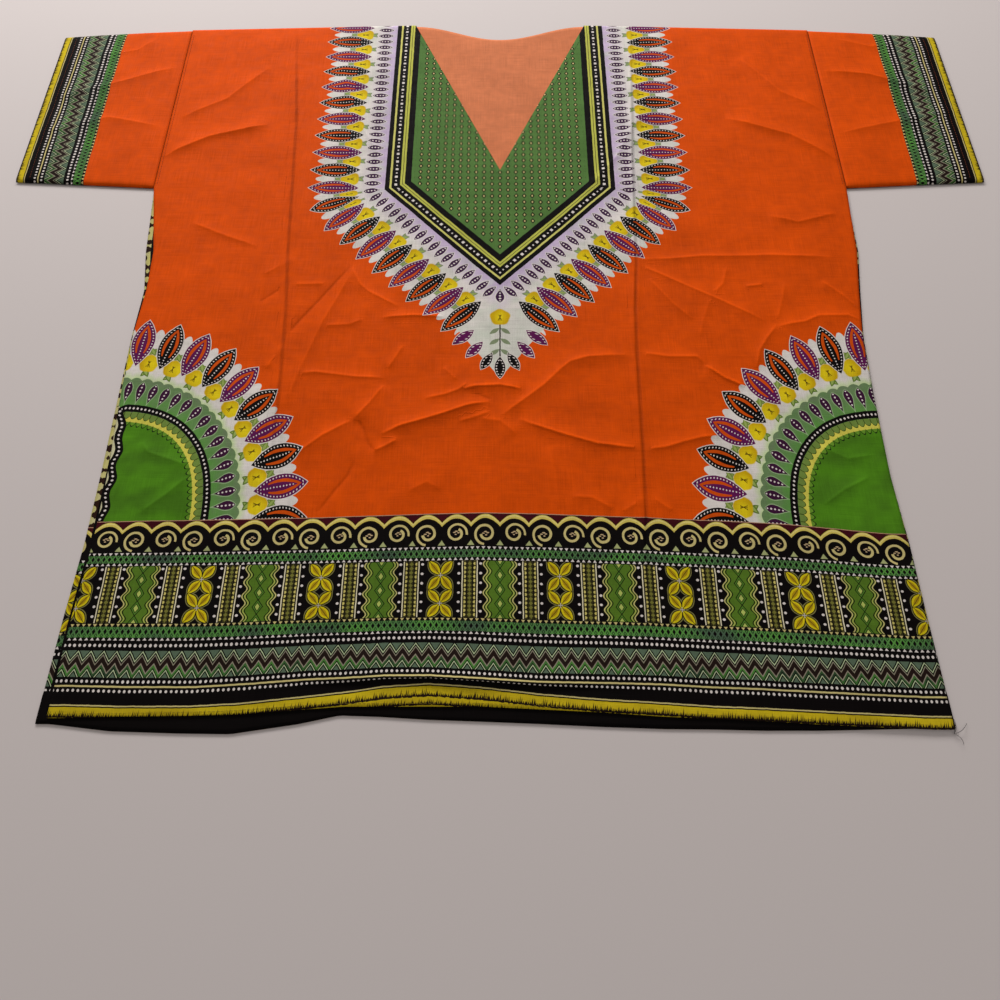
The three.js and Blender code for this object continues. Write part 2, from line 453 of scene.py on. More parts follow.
def lace_band(low, high, top_ink, middle_share, diamond):
    """A lattice of dark diamonds on green, between two rows of small triangles."""
    def draw(tree, across, up):
        cell = repeat(tree, across, LACE_PITCH).local
        cloud = (noise(tree, across * 0.028 + 3, up * 0.06) * 2 - 0.5).clamped()
        green = blend(tree, dye(92, 152, 66), dye(72, 94, 74), cloud)
        middle = low + (high - low) * middle_share
        colour = blend(tree, green, BLACK, lozenge(tree, cell, up - middle, 1.35, diamond))
        half = repeat(tree, across + LACE_PITCH / 2, LACE_PITCH).local
        for away in (diamond + 0.4, -diamond - 0.4):
            colour = blend(tree, colour, dye(34, 52, 32), lozenge(tree, half, up - middle - away, 1.3, 1.9))
            colour = blend(tree, colour, green, lozenge(tree, half, up - middle - away, 0.6, 0.9))
        rim, line = 2.9, 0.7
        colour = blend(tree, colour, BLACK, inside(up - (high - rim)) + inside(low + rim - up))
        hanging = lozenge(tree, cell, up - (high - line), 1.45, 2.2) * inside(high - line - up)
        colour = blend(tree, colour, top_ink, hanging)
        standing = lozenge(tree, cell, up - (low + line), 1.45, 2.1) * inside(up - low - line)
        return blend(tree, colour, WHITE, standing)
    return draw


def green_panel(tree, from_middle, middle, colour):
    """Rippled outlines round a chain of lozenges."""
    ripple = (middle * (2 * math.pi / CHAIN_PITCH) + 3.1).sine()
    off = 8.4 + ripple * 1.6 - from_middle
    colour = blend(tree, colour, BLOCK_GREEN, inside(off + 3.6))
    for distance, half_width, ink in ((3.0, 0.42, CREAM), (1.9, 0.4, BLACK),
                                      (0.7, 0.5, dye(168, 176, 84)), (-0.5, 0.4, BLACK)):
        colour = blend(tree, colour, ink, stroke(tree, off + distance, half_width))
    link = repeat(tree, middle, CHAIN_PITCH).local
    for half_width, half_height, ink in ((4.4, 6.3, BLACK), (3.7, 5.3, dye(80, 122, 40)),
                                         (2.5, 3.6, BLACK), (1.8, 2.8, dye(176, 190, 96))):
        colour = blend(tree, colour, ink, lozenge(tree, from_middle, link, half_width, half_height))
    return colour


def lace_strip(tree, strip, middle, colour):
    """A small lattice between yellow half rounds and two pale lines, with a row of dots on each side."""
    width = strip.size()
    lattice = repeat(tree, middle, 3.4).local
    lace = blend(tree, dye(58, 54, 26), dye(120, 118, 52), lozenge(tree, strip, lattice, 1.7, 1.7))
    lace = blend(tree, lace, BLACK, stroke(tree, width - 2.3, 0.4))
    rounds = disc(tree, width - 4.4, lattice, 1.6, 1.25) * inside(4.4 - width)
    lace = blend(tree, lace, dye(206, 192, 108), rounds)
    lace = blend(tree, lace, BLACK, inside(width - 4.5))
    lace = blend(tree, lace, dye(232, 222, 190), stroke(tree, width - 5.8, 0.42))
    colour = blend(tree, colour, lace, inside(6.7 - width))
    return blend(tree, colour, WHITE, beads(tree, middle + 2.5, width - 8.5, 2 * DOT_PITCH, 1.05))


def rosette_panel(tree, side, middle, colour):
    """Two stacked rosettes of four yellow leaves each, with a pale outline and a small cross between."""
    tall = repeat(tree, middle + CHAIN_PITCH, 2 * CHAIN_PITCH).local
    along = (side * 0.62 + tall.size() * 0.785) - 7.6
    aside = side * 0.785 - tall.size() * 0.62
    petal = leaf(tree, along, aside, 6.9, 3.3)
    shown = inside(12.4 - side)
    for rim, ink in ((1.5, dye(134, 128, 76)), (0.8, BLACK)):
        colour = blend(tree, colour, ink, inside(petal.inside + rim) * shown)
    yellow = blend(tree, YELLOW, dye(176, 142, 18), inside(petal.inside - 1.6))
    yellow = blend(tree, yellow, dye(96, 84, 22), stroke(tree, aside, 0.3))
    colour = blend(tree, colour, yellow, petal.mask * shown)
    cross = stroke(tree, side, 0.35) * inside(1.9 - tall.size())
    cross = cross.most(stroke(tree, tall, 0.35) * inside(1.9 - side))
    return blend(tree, colour, dye(190, 182, 170), cross)


def block_row(tree, across, up):
    """Upright panels on black: yellow rosettes, lace strips and green lozenge chains."""
    side = repeat(tree, across + BLOCK_PITCH / 2, BLOCK_PITCH).local.size()
    middle = up - (BLOCKS + UPPER_LACE) / 2
    strip_place = 22.8
    colour = green_panel(tree, BLOCK_PITCH / 2 - side, middle, BLACK)
    colour = lace_strip(tree, side - strip_place, middle, colour)
    return rosette_panel(tree, side, middle, colour)


def spiral_row(tree, across, up):
    """Cream scrolls on black under scalloped arcs, with a maroon strip above."""
    cell = repeat(tree, across + SCROLL_PITCH / 2, SCROLL_PITCH)
    x = cell.local
    arc = up - 151.2 + x * x * 0.052
    colour = blend(tree, BLACK, dye(22, 12, 8), stroke(tree, arc, 3.0))
    colour = blend(tree, colour, dye(214, 194, 96), stroke(tree, arc, 1.7))
    colour = blend(tree, colour, dye(232, 216, 140), stroke(tree, arc - 0.5, 0.35))
    colour = blend(tree, colour, MAROON, inside(arc - 2.3))
    colour = blend(tree, colour, dye(196, 150, 120), stroke(tree, up - BORDER + 0.3, 0.3))
    odd = repeat(tree, cell.count, 2.0).local.size()
    flip = 1 - odd * 2
    roll_x, roll_y = x * flip * (1 + odd * 0.06), (up - 136.6 - odd * 0.6) * (1 + odd * 0.06)
    roll = scroll(tree, roll_x, roll_y, 4.5, 0.95, -0.27 - odd * 0.2)
    colour = blend(tree, colour, CREAM, roll)
    # Four little petals in each scroll's open middle: across, up and how long.
    for lean, rise, size in ((-1.7, 0.2, 1.3), (0.1, 1.5, 1.5), (1.8, 0.5, 1.2), (0.6, -1.2, 1.0)):
        bud = leaf(tree, roll_x - lean, roll_y - rise, size, 0.5).mask
        colour = blend(tree, colour, dye(206, 178, 136), bud)
    gap = repeat(tree, across, SCROLL_PITCH).local
    foot = lozenge(tree, gap, up - 127.0, 3.0, 4.4) * inside(up - 127.2)
    return blend(tree, colour, dye(170, 176, 120), foot)


MEDALLION_X, MEDALLION_SQUASH, MEDALLION_PETALS = 333, 1.13, 9.5
MEDALLION_BEADS, MEDALLION_SQUARENESS, MEDALLION_ARC = 107, 2.4, 220
CORNER_ROUND = 6


def fringe_petal(tree, along, out, count, colour):
    """One beaded lotus petal that stands on the outer edge of a ring, black or plum by turns."""
    dark = blend(tree, BLACK, PLUM, repeat(tree, count, 2.0).local.size() * 2)
    shape = leaf(tree, out - 24, along, 25, 9.2)
    row = repeat(tree, out, 3.0).local
    colour = blend(tree, colour, OFF_WHITE, inside(shape.inside + 0.7))
    colour = blend(tree, colour, dark, shape.mask)
    colour = blend(tree, colour, WHITE, disc(tree, row, shape.inside - 1.7, 0.62, 0.62))
    colour = blend(tree, colour, dye(206, 78, 8), inside(shape.inside - 3.6) * inside(out - 13))
    core = leaf(tree, out - 21, along, 19, 3.3)
    colour = blend(tree, colour, dark, core.mask)
    return blend(tree, colour, WHITE, disc(tree, row, along, 0.62, 0.62) * inside(core.inside - 0.9))


def blossom(tree, x, y, colour):
    """A round yellow flower, darker on one side, with a few brown stamens."""
    distance = (x * x + y * y).power(0.5)
    lobes = (y.math("ARCTAN2", x) * 5).sine() * 0.5
    shade = blend(tree, dye(230, 206, 26), dye(204, 166, 14), (distance / 11 + x * 0.06).clamped())
    colour = blend(tree, colour, shade, ((9.2 + lobes - distance) / 1.1 + 0.5).clamped())
    for lean in (-0.45, 0.0, 0.45):
        stamen = stroke(tree, x + y * lean, 0.32) * inside(3.4 - (y + 0.6).size())
        colour = blend(tree, colour, dye(86, 62, 10), stamen)
    return colour


def leaf_pair(tree, x, y, size, ink, colour):
    """Two leaves that spread from a stalk."""
    for turn in (-1.0, 1.0):
        blade = leaf(tree, y * 0.8 + x * turn * 0.6, y * 0.6 - x * turn * 0.8, size, size * 0.42)
        colour = blend(tree, colour, ink, blade.mask)
        colour = blend(tree, colour, dye(150, 170, 90), inside(blade.inside - size * 0.2))
    return colour


def ring_print(tree, along, out, period, colour):
    """The rings outside a beaded line: green with dark seeds, then off-white with flowers, then petals."""
    cell = repeat(tree, along, period)
    seed = repeat(tree, along, period * 0.6)
    between = repeat(tree, along + period / 2, period).local
    lobe = repeat(tree, along + period / 4, period / 2).local
    edge = out - 31 + lobe * lobe * 0.075
    cloud = noise(tree, along * 0.09, out * 0.12, 1.0)
    green = blend(tree, dye(92, 146, 66), dye(108, 128, 92), (out / 34 + cloud * 0.8 - 0.35).clamped())
    share = (out - 16.5) / 10.5
    drop = (1 - share * share) * (share * 2.4 + 4.1) - seed.local.size()
    green = blend(tree, green, dye(150, 176, 130), inside(drop + 0.9))
    green = blend(tree, green, dye(58, 20, 52), inside(drop))
    spots = disc(tree, repeat(tree, out, 3.6).local, seed.local, 0.9, 0.9) * inside(drop - 1.1)
    green = blend(tree, green, WHITE, spots)
    tint = blend(tree, dye(196, 214, 158), OFF_WHITE, (edge / 7).clamped())
    tint = blend(tree, tint, dye(190, 190, 168), (cloud * 2 - 1.1).clamped() * 0.6)
    ground = blend(tree, green, tint, inside(edge))
    ground = leaf_pair(tree, between, out - 38, 6.4, dye(96, 122, 48), ground)
    ground = blossom(tree, between, out - 47, ground)
    ground = leaf_pair(tree, between, out - 60, 5.0, LEAF_GREEN, ground)
    finger = (84 - between * between * 0.42).most(52)
    colour = blend(tree, colour, ground, inside(finger - out))
    return fringe_petal(tree, cell.local, out - 44, cell.count, colour)


def scalloped_field(tree, across, up, angle, inner, colour):
    """What the beads enclose: a row of round cells, a yellow line, scallops and the green field."""
    olive = dye(58, 74, 24)
    arcs = repeat(tree, angle * 96, 6.2).local
    rounds = inner - 6.6 + arcs * arcs * 0.3
    cells = blend(tree, dye(112, 136, 62), olive, stroke(tree, rounds, 0.4))
    cells = blend(tree, cells, olive, stroke(tree, arcs.size() - 3.1, 0.35))
    colour = blend(tree, colour, cells, inside(inner))
    colour = blend(tree, colour, dye(214, 204, 84), inside(rounds - 0.4))
    loops = repeat(tree, angle * 90 + 3.1, 5.6).local
    scallop = inner - 13.6 + loops * loops * 0.55
    colour = blend(tree, colour, dye(104, 146, 44), inside(inner - 9.6))
    cloud = (noise(tree, across * 0.035 - up * 0.02, up * 0.05 + 2) * 2.4 - 0.7).clamped()
    colour = blend(tree, colour, blend(tree, GREEN, dye(72, 118, 26), cloud), inside(scallop))
    return blend(tree, colour, dye(24, 44, 12), stroke(tree, scallop, 0.6))


def medallion(tree, across, up):
    """A quarter of a round medallion in the lower corner, closed by beads along the left side seam."""
    inward = MEDALLION_X - across.size()
    x = inward * MEDALLION_SQUASH
    y = up - BORDER
    # The beaded ring is a little square in its outline, and the petals outside it are round.
    round_reach = (x * x + y * y).power(0.5)
    square_reach = x.size().power(MEDALLION_SQUARENESS) + y.size().power(MEDALLION_SQUARENESS)
    square_reach = square_reach.power(1 / MEDALLION_SQUARENESS)
    outer_share = ((round_reach - MEDALLION_BEADS) / 55).clamped()
    radius = square_reach + (round_reach - square_reach) * outer_share
    ring = MEDALLION_BEADS - radius
    angle = y.math("ARCTAN2", x)
    colour = ring_print(tree, angle * 140, ring * -1, MEDALLION_ARC / MEDALLION_PETALS, ORANGE)
    colour = scalloped_field(tree, across, up, angle, ring - 3.8, colour)
    # A beaded line closes the medallion round its arc and down the side, with a rounded corner between.
    left = across.under(0)
    lean = ((up - 232) / 22).clamped() * 4.5
    wave = inward + 1.5 + left * (lean - 13.2 - (up * 0.24 - 0.68).sine() * 1.6)
    narrowing = (ring / -4).clamped() * 5.0
    selvedge = inside(-1 * wave - narrowing) * inside(ring + 34)
    colour = blend(tree, colour, dye(214, 208, 168), selvedge)
    reach_x, reach_y = (CORNER_ROUND - wave).most(0), (CORNER_ROUND - ring).most(0)
    line = CORNER_ROUND - (reach_x * reach_x + reach_y * reach_y).power(0.5)
    colour = blend(tree, colour, BLACK, stroke(tree, line, 3.6))
    along = blend_value(angle * MEDALLION_BEADS, up, wave.math("LESS_THAN", ring))
    return blend(tree, colour, WHITE, beads(tree, along, line, 3.9, 1.0))


YOKE_TIP, YOKE_HALF_WIDTH, YOKE_END = 393, 115, 287
YOKE_STEEPNESS = 1.04
YOKE_PETAL_PITCH, YOKE_SEED_PITCH = 24.0, 9.6
CORNER_REACH, SEED_REACH = 60, 12.5
# The buds round the yoke's tip: how far from the middle, how far down, how long and how tilted.
YOKE_BUDS = ((33.0, 61.0, 12.5, 0.85), (23.0, 75.0, 11.5, 0.7),
             (12.0, 88.0, 10.5, 0.5), (0.0, 95.0, 12.0, 0.0))


def yoke_place(side, rise):
    """Distance out from the yoke's black outline and along it, rounded outside its two lower corners."""
    slope = math.hypot(1, YOKE_STEEPNESS)
    normal_x, normal_y = YOKE_STEEPNESS / slope, -1 / slope
    lean = math.atan2(-normal_y, normal_x)
    corner_rise = YOKE_HALF_WIDTH * YOKE_STEEPNESS
    corner_along = math.hypot(YOKE_HALF_WIDTH, corner_rise)
    x, y = side - YOKE_HALF_WIDTH, rise - corner_rise
    on_slant = x * -normal_y + y * normal_x
    straight = (x * normal_x + y * normal_y).most(x)
    in_corner = on_slant.over(0) * y.under(0)
    round_out = (x * x + y * y).power(0.5)
    out = blend_value(straight, round_out, in_corner)
    turned = (y.math("ARCTAN2", x) + lean).most(0).least(lean) * in_corner
    above = y.over(0)

    def run(reach):
        return blend_value(on_slant.least(0) + turned * reach, y + lean * reach, above) + corner_along
    return straight, out, run(CORNER_REACH), run(SEED_REACH)


def yoke_seeds(tree, side, below, out, along, ground):
    """Dark beaded seeds that hang from the outline, and fan round its point."""
    fan = (side * side + below * below).power(0.5)
    at_point = along.under(0)
    near = blend_value(out, fan, at_point)
    swing = blend_value(along, side.math("ARCTAN2", below) * 10.31 - 8.3, at_point)
    seeds = repeat(tree, swing - 1.3, YOKE_SEED_PITCH).local
    drop = leaf(tree, near - 12.5, seeds, 8.5, 3.1)
    ground = blend(tree, ground, OFF_WHITE, inside(drop.inside + 0.8))
    ground = blend(tree, ground, dye(62, 30, 66), drop.mask)
    spots = disc(tree, repeat(tree, near, 3.2).local, seeds, 0.85, 0.85)
    return blend(tree, ground, WHITE, spots * inside(drop.inside - 0.9))


def yoke_point(tree, across, side, below, colour):
    """The pale point under the chevrons: a flower, a leafy stalk and a cluster of beaded buds."""
    length = YOKE_TIP - YOKE_END
    kite = inside((length - below) * 0.72 - side) * inside(below * 0.9 + 2 - side) * below.over(28)
    tip = blend(tree, OFF_WHITE, PALE_SAGE, noise(tree, across * 0.06, below * 0.06))
    tip = blend(tree, tip, INK_BROWN, stroke(tree, side, 0.6) * inside(below - 44) * inside(90 - below))
    for base in (54.0, 66.0, 78.0):
        x, y = side - 5, below - base
        blade = leaf(tree, x * 0.8 + y * 0.6, x * 0.6 - y * 0.8, 5.6, 2.2)
        tip = blend(tree, tip, dye(128, 140, 108), blade.mask)
    tip = blossom(tree, side, below * -1 + 38, tip)
    colour = blend(tree, colour, tip, kite)
    for spread, depth, size, lean in YOKE_BUDS:
        down, aside = below - depth, side - spread
        bud = leaf(tree, down * math.cos(lean) + aside * math.sin(lean),
                   down * math.sin(lean) - aside * math.cos(lean), size, size * 0.4)
        colour = blend(tree, colour, WHITE, inside(bud.inside + 0.6))
        colour = blend(tree, colour, BLACK if spread < 20 else PLUM, bud.mask)
        pips = disc(tree, repeat(tree, below, 3.0).local, bud.inside - 1.6, 0.7, 0.7)
        colour = blend(tree, colour, WHITE, pips)
    return colour


def yoke(tree, across, up):
    """A pointed shield round the neck: nested chevrons, dark seeds, flowers and a fringe of petals."""
    side = across.size()
    rise = up - YOKE_TIP
    straight, out, along, seed_along = yoke_place(side, rise)
    cell = repeat(tree, along + 2, YOKE_PETAL_PITCH)
    gap = repeat(tree, along + 2 + YOKE_PETAL_PITCH / 2, YOKE_PETAL_PITCH)
    ground = blend(tree, OFF_WHITE, LILAC, (1.15 - out / 21).clamped())
    cloud = (noise(tree, across * 0.06, up * 0.06) * 2 - 1).clamped()
    ground = blend(tree, ground, PALE_SAGE, cloud)
    flowered = leaf_pair(tree, gap.local, out - 26, 5.6, SAGE, ground)
    flowered = blossom(tree, gap.local, out - 35.5, flowered)
    flowered = leaf_pair(tree, gap.local, out - 48, 4.4, SAGE, flowered)
    ground = blend(tree, ground, flowered, gap.count.over(0.5))
    finger = (70 - gap.local * gap.local * 0.42).most(40)
    colour = blend(tree, ORANGE, ground, inside(finger - out) * cell.count.over(-0.5).most(rise.over(-30)))
    colour = yoke_point(tree, across, side, rise * -1, colour)
    petals = fringe_petal(tree, cell.local, out - 27, cell.count, colour)
    colour = blend(tree, colour, petals, cell.count.over(-0.5))
    seeded = yoke_seeds(tree, side, rise * -1, out, seed_along, colour)
    colour = blend(tree, colour, seeded, inside(24 - out))
    return yoke_chevrons(tree, across, up, straight * -1, along, colour)


def yoke_chevrons(tree, across, up, inner, along, colour):
    """Nested chevrons towards the neck, round a green lattice."""
    colour = blend(tree, colour, BLACK, inside(inner))
    colour = blend(tree, colour, dye(206, 200, 110), stroke(tree, inner - 5.6, 1.0))
    squares = repeat(tree, along, 10.4).local
    small = repeat(tree, along + 5.2, 10.4).local
    off = (inner - 10.9).size()
    colour = blend(tree, colour, WHITE, inside(1.35 - squares.size().most(off)))
    colour = blend(tree, colour, WHITE, inside(0.75 - small.size().most(off)))
    colour = blend(tree, colour, dye(190, 190, 84), stroke(tree, inner - 17.4, 2.3))
    colour = blend(tree, colour, dye(60, 56, 20), stroke(tree, inner - 17.4, 0.3))
    colour = blend(tree, colour, BAND_GREEN, inside(inner - 26))
    lattice_x, lattice_y = repeat(tree, across, 8.0).local, repeat(tree, up, 8.0).local
    lattice = lozenge(tree, lattice_x, lattice_y, 2.4, 3.4)
    colour = blend(tree, colour, BLACK, lattice * inside(inner - 29))
    return blend(tree, colour, CREAM, lozenge(tree, lattice_x, lattice_y, 1.0, 1.6) * inside(inner - 29))


def side_strip(tree, across, up):
    """The very edge of the cloth at the side seam: pale yellow with dark scallops."""
    wave = (up * 0.62).sine() * 0.9 + (up * 0.23).sine() * 0.5
    patch = noise(tree, across * 0.2, up * 0.03)
    dark_stretch = (1 - (up - 368).size() / 52).clamped() * 3
    colour = blend(tree, dye(196, 186, 74), dye(206, 198, 160), patch)
    return blend(tree, colour, dye(46, 26, 18), inside((patch - 0.58) * 5 + wave + dark_stretch))


# ---------------------------------------------------------------------------------------------------
# Materials
# ---------------------------------------------------------------------------------------------------
def cotton(name, draw, fade=None):
    """Printed plain-woven cotton: its print, uneven dye, weave, creases with painted light and shade along
    their lines, and a soft dressed sheen.
    """
    material = bpy.data.materials.new(name)
    material.use_nodes = True
    tree = material.node_tree
    shader = tree.nodes["Principled BSDF"]
    place = cloth_place(tree, 0.25)
    ink = draw(tree, place.across, place.up)
    if fade:
        ink = blend(tree, ink, *fade)
    threads = weave(tree, place.across, place.up)
    relief = cloth_relief(tree, threads.height)
    # relief.crease paints light on crease ridges and shade in crease troughs into the colour.
    cloth = dyed_cloth(tree, ink, place.across, place.up, threads.tone, relief.crease)
    feed(tree, shader.inputs["Base Color"], cloth.colour)
    feed(tree, shader.inputs["Roughness"], cloth.roughness)
    bump = tree.nodes.new("ShaderNodeBump")
    bump.inputs["Distance"].default_value = MM
    bump.inputs["Strength"].default_value = 1.0
    feed(tree, bump.inputs["Height"], relief.height)
    tree.links.new(bump.outputs[0], shader.inputs["Normal"])
    shader.inputs["Specular IOR Level"].default_value = 0.05
    return material


BANDS = {
    "hem_lines": hem_lines,
    "zigzag_band": zigzag_band,
    "dot_row": dot_row,
    "lower_lace": lace_band(LACE, BLOCKS, CREAM, 0.52, 2.5),
    "block_row": block_row,
    "upper_lace": lace_band(UPPER_LACE, SPIRALS, WHITE, 0.5, 2.3),
    "spiral_row": spiral_row,
    "ground": plain_ground,
    "medallion": medallion,
    "yoke": yoke,
    "side_strip": side_strip,
}
PRINTS = {name: cotton("print_" + name, draw) for name, draw in BANDS.items()}
INSIDE = cotton("inside_of_cloth", plain_ground, (dye(206, 150, 110), 0.55))
# Black: the turned hem where the cloth is doubled, and also a band of painted seam shadow along the back's
# side seams.
TURNED_HEM_AND_SEAM_SHADOW = cotton("turned_hem", lambda tree, across, up: BLACK)
EDGE_CLOTH = cotton("cut_edge", lambda tree, across, up: dye(60, 34, 14))
SLOTS = [*PRINTS, "inside", "turned_hem", "edge"]
CLOTHS = [*PRINTS.values(), INSIDE, TURNED_HEM_AND_SEAM_SHADOW, EDGE_CLOTH]


def thread(name, ink):
    """Twisted cotton thread: fine slanting plies, with painted shade in the grooves between them, and a soft
    gloss.
    """
    material = bpy.data.materials.new(name)
    material.use_nodes = True
    tree = material.node_tree
    shader = tree.nodes["Principled BSDF"]
    where = tree.nodes.new("ShaderNodeNewGeometry")
    parts = tree.nodes.new("ShaderNodeSeparateXYZ")
    tree.links.new(where.outputs["Position"], parts.inputs[0])
    slant = (Value(tree, parts.outputs[0]) + Value(tree, parts.outputs[1]) * 0.7) * 9000
    ply = slant.sine()
    # Painted shade: the colour darkens to 55 % where the plies' bump dips between them.
    dark = tuple(level * 0.55 for level in ink[:3]) + (1.0,)
    feed(tree, shader.inputs["Base Color"], blend(tree, ink, dark, (ply * -0.5 + 0.5).clamped()))
    bump = tree.nodes.new("ShaderNodeBump")
    bump.inputs["Distance"].default_value = 0.05 * MM
    feed(tree, bump.inputs["Height"], ply)
    tree.links.new(bump.outputs[0], shader.inputs["Normal"])
    shader.inputs["Roughness"].default_value = 0.55
    shader.inputs["Specular IOR Level"].default_value = 0.25
    return material


BAND_TOPS = {
    "hem_lines": ZIGZAG,
    "zigzag_band": DOTS,
    "dot_row": LACE,
    "lower_lace": BLOCKS,
    "block_row": UPPER_LACE,
    "upper_lace": SPIRALS,
    "spiral_row": BORDER,
}
# How far the large motifs reach: a medallion from its centre, and the yoke from the middle and its tip.
MEDALLION_REACH, YOKE_REACH = (190, 212), (200, 125)


def zone(across, up):
    """The name of the band that a place on a panel belongs to."""
    for name, top in BAND_TOPS.items():
        if up < top:
            return name
    if abs(across) > MEDALLION_X - MEDALLION_REACH[0] and up < BORDER + MEDALLION_REACH[1]:
        return "medallion"
    if abs(across) < YOKE_REACH[0] and up > YOKE_TIP - YOKE_REACH[1]:
        return "yoke"
    return "ground"


# ---------------------------------------------------------------------------------------------------
# Folds and creases of the upper layer
# ---------------------------------------------------------------------------------------------------
# Each crease: its path, how high its crest is (a trough is below 0), how far it falls on each side, and how
# sharp its line is. A path that has its steep side towards the hem reads as a shadow under a pale crest.
CREASES = [
    # pressed creases from the packet
    (((-228, 748), (-212, 600), (-202, 436), (-196, 370), (-192, 290), (-190, 196)), 1.6, 4, 3, -1.0),
    (((148, 748), (136, 560), (129, 420), (124, 365), (122, 320), (120, 225), (118, 165), (108, 33)),
     1.6, 4, 3, -1.1),
    (((-194, 395), (-162, 396)), 0.8, 4, 3, 0.3),
    (((-180, 297), (-162, 299), (-126, 294), (-100, 293)), 1.2, 4, 4, 0.45),
    (((-108, 357), (-80, 359), (-50, 358)), 1.9, 7, 5, 0.6),
    (((-160, 348), (-136, 350), (-124, 356)), 0.9, 5, 3, 0.3),
    (((128, 424), (160, 425), (190, 428), (260, 429), (318, 427)), 1.5, 4, 6, 0.4),
    (((124, 319), (150, 315), (175, 315), (184, 306)), 1.3, 4, 6, 0.45),
    # rumples left of the middle
    (((-222, 406), (-192, 426)), 0.9, 6, 5, 0.2),
    (((-222, 374), (-202, 391)), -0.5, 5, 5, -0.3),
    (((-140, 418), (-146, 408), (-185, 350), (-196, 330)), -0.8, 4, 4, -0.45),
    (((-136, 418), (-150, 380), (-162, 350), (-177, 300), (-186, 262)), 1.4, 5, 7, 0.3),
    (((-140, 416), (-130, 395), (-122, 387), (-106, 377), (-92, 369)), 1.3, 4, 6, 0.45),
    (((-194, 325), (-207, 302)), 1.1, 6, 5, 0.3),
    (((-86, 328), (-99, 302)), 1.1, 4, 5, 0.4),
    (((-101, 286), (-112, 268), (-126, 250)), 2.0, 10, 6, 0.5),
    (((-178, 212), (-150, 236), (-126, 251)), 1.8, 5, 7, 0.5),
    (((-122, 252), (-116, 242), (-111, 228), (-105, 221)), -0.8, 5, 4, -0.4),
    (((-106, 221), (-96, 226), (-86, 232)), 1.9, 5, 5, 0.5),
    (((-121, 213), (-126, 198), (-136, 184), (-148, 165)), -0.7, 4, 4, -0.4),
    (((-102, 236), (-84, 245), (-68, 250), (-50, 256), (-30, 264), (-8, 269)), 3.4, 9, 8, 0.8),
    (((-34, 281), (-20, 276), (-7, 270)), -0.7, 4, 4, -0.3),
    (((-35, 280), (-20, 284), (0, 285), (20, 281)), 2.8, 7, 7, 0.8),
    (((-66, 272), (-48, 276), (-36, 281), (-25, 289)), 1.2, 4, 4, 0.5),
    (((-50, 304), (-38, 291)), 0.8, 4, 3, 0.3),
    (((-76, 184), (-60, 193), (-48, 186)), 1.0, 6, 5, 0.2),
    (((-36, 249), (-20, 254), (-8, 259)), 0.9, 4, 3, 0.4),
    (((-20, 252), (0, 250), (8, 243), (14, 236)), 1.3, 5, 7, 0.25),
    # rumples right of the middle
    (((-2, 252), (20, 270), (38, 285), (53, 301), (62, 309), (78, 314), (116, 317)), 2.7, 6, 10, 0.45),
    (((16, 252), (24, 248), (37, 243), (57, 236), (82, 228), (104, 225), (120, 224)), 2.3, 9, 5, 0.75),
    (((120, 222), (140, 225), (155, 230), (170, 234), (186, 237)), 1.9, 8, 5, 0.5),
    (((181, 306), (197, 293), (214, 284)), 1.8, 6, 3, 0.9),
    (((126, 420), (150, 407), (190, 384), (205, 376), (242, 353)), 1.2, 4, 5, 0.5),
    (((139, 402), (160, 372), (176, 355)), 0.9, 4, 4, 0.4),
    (((196, 383), (208, 396), (214, 416)), 0.7, 4, 4, 0.3),
    (((195, 382), (185, 355), (180, 336)), 0.6, 5, 5, 0.2),
    (((228, 393), (246, 395)), 0.9, 3, 3, 0.5),
    (((250, 347), (262, 350), (278, 353), (290, 359), (318, 360), (331, 355)), 1.4, 5, 6, 0.45),
    (((251, 349), (240, 335), (231, 321), (226, 302)), 1.5, 6, 5, 0.45),
    (((266, 398), (260, 377), (252, 354)), 0.7, 5, 5, 0.25),
    (((300, 399), (318, 382), (330, 368)), 1.1, 4, 5, 0.45),
    (((58, 180), (75, 179), (92, 169)), 1.2, 5, 6, 0.3),
    (((98, 166), (118, 178)), 0.8, 5, 4, 0.25),
    (((124, 179), (140, 167)), 0.7, 4, 4, 0.3),
    (((42, 226), (46, 190), (48, 168)), 0.5, 5, 5, 0.2),
    # medallions
    (((-302, 230), (-294, 220), (-257, 207)), 1.5, 6, 6, 0.3),
    (((-257, 198), (-270, 184), (-290, 166)), 1.3, 6, 5, 0.3),
    (((262, 172), (282, 186), (306, 198)), 1.2, 6, 5, 0.3),
    (((268, 226), (290, 214), (312, 218)), 1.0, 6, 5, 0.25),
    # shoulders and chest
    (((-300, 470), (-262, 452), (-232, 440)), 1.4, 7, 4, 0.3),
    (((262, 478), (290, 470), (330, 482)), 1.4, 7, 4, 0.3),
    (((-345, 556), (-300, 583), (-240, 602)), 3.2, 11, 6, 0.4),
    (((345, 552), (300, 586), (235, 612)), 3.0, 6, 11, 0.4),
    (((-335, 612), (-290, 640), (-250, 690)), 1.8, 9, 6, 0.3),
    (((340, 625), (300, 650), (262, 706)), 1.8, 6, 9, 0.3),
    (((-118, 552), (-150, 610), (-172, 690)), 1.8, 8, 5, 0.3),
    (((78, 500), (118, 556), (160, 650)), 1.8, 5, 8, 0.3),
]
# The same for the sleeves, in places across the shirt.
SLEEVE_CREASES = [
    (((-352, 690), (-400, 668), (-470, 642)), 2.2, 9, 6, 0.4),
    (((-356, 600), (-410, 612), (-480, 590)), 1.5, 8, 5, 0.3),
    (((-380, 738), (-400, 716), (-450, 706)), 1.0, 7, 5, 0.25),
    (((350, 684), (400, 676), (462, 652)), 2.2, 9, 6, 0.4),
    (((352, 590), (400, 602), (478, 622)), 1.5, 8, 5, 0.3),
    (((372, 736), (410, 722), (440, 730)), 1.0, 7, 5, 0.25),
]


# How far a crease's sharp line reaches, what stands for no crease, and how low a trough may go.
LINE_REACH, FAR_FROM_CREASE, LOWEST = 9, 30.0, 0.05


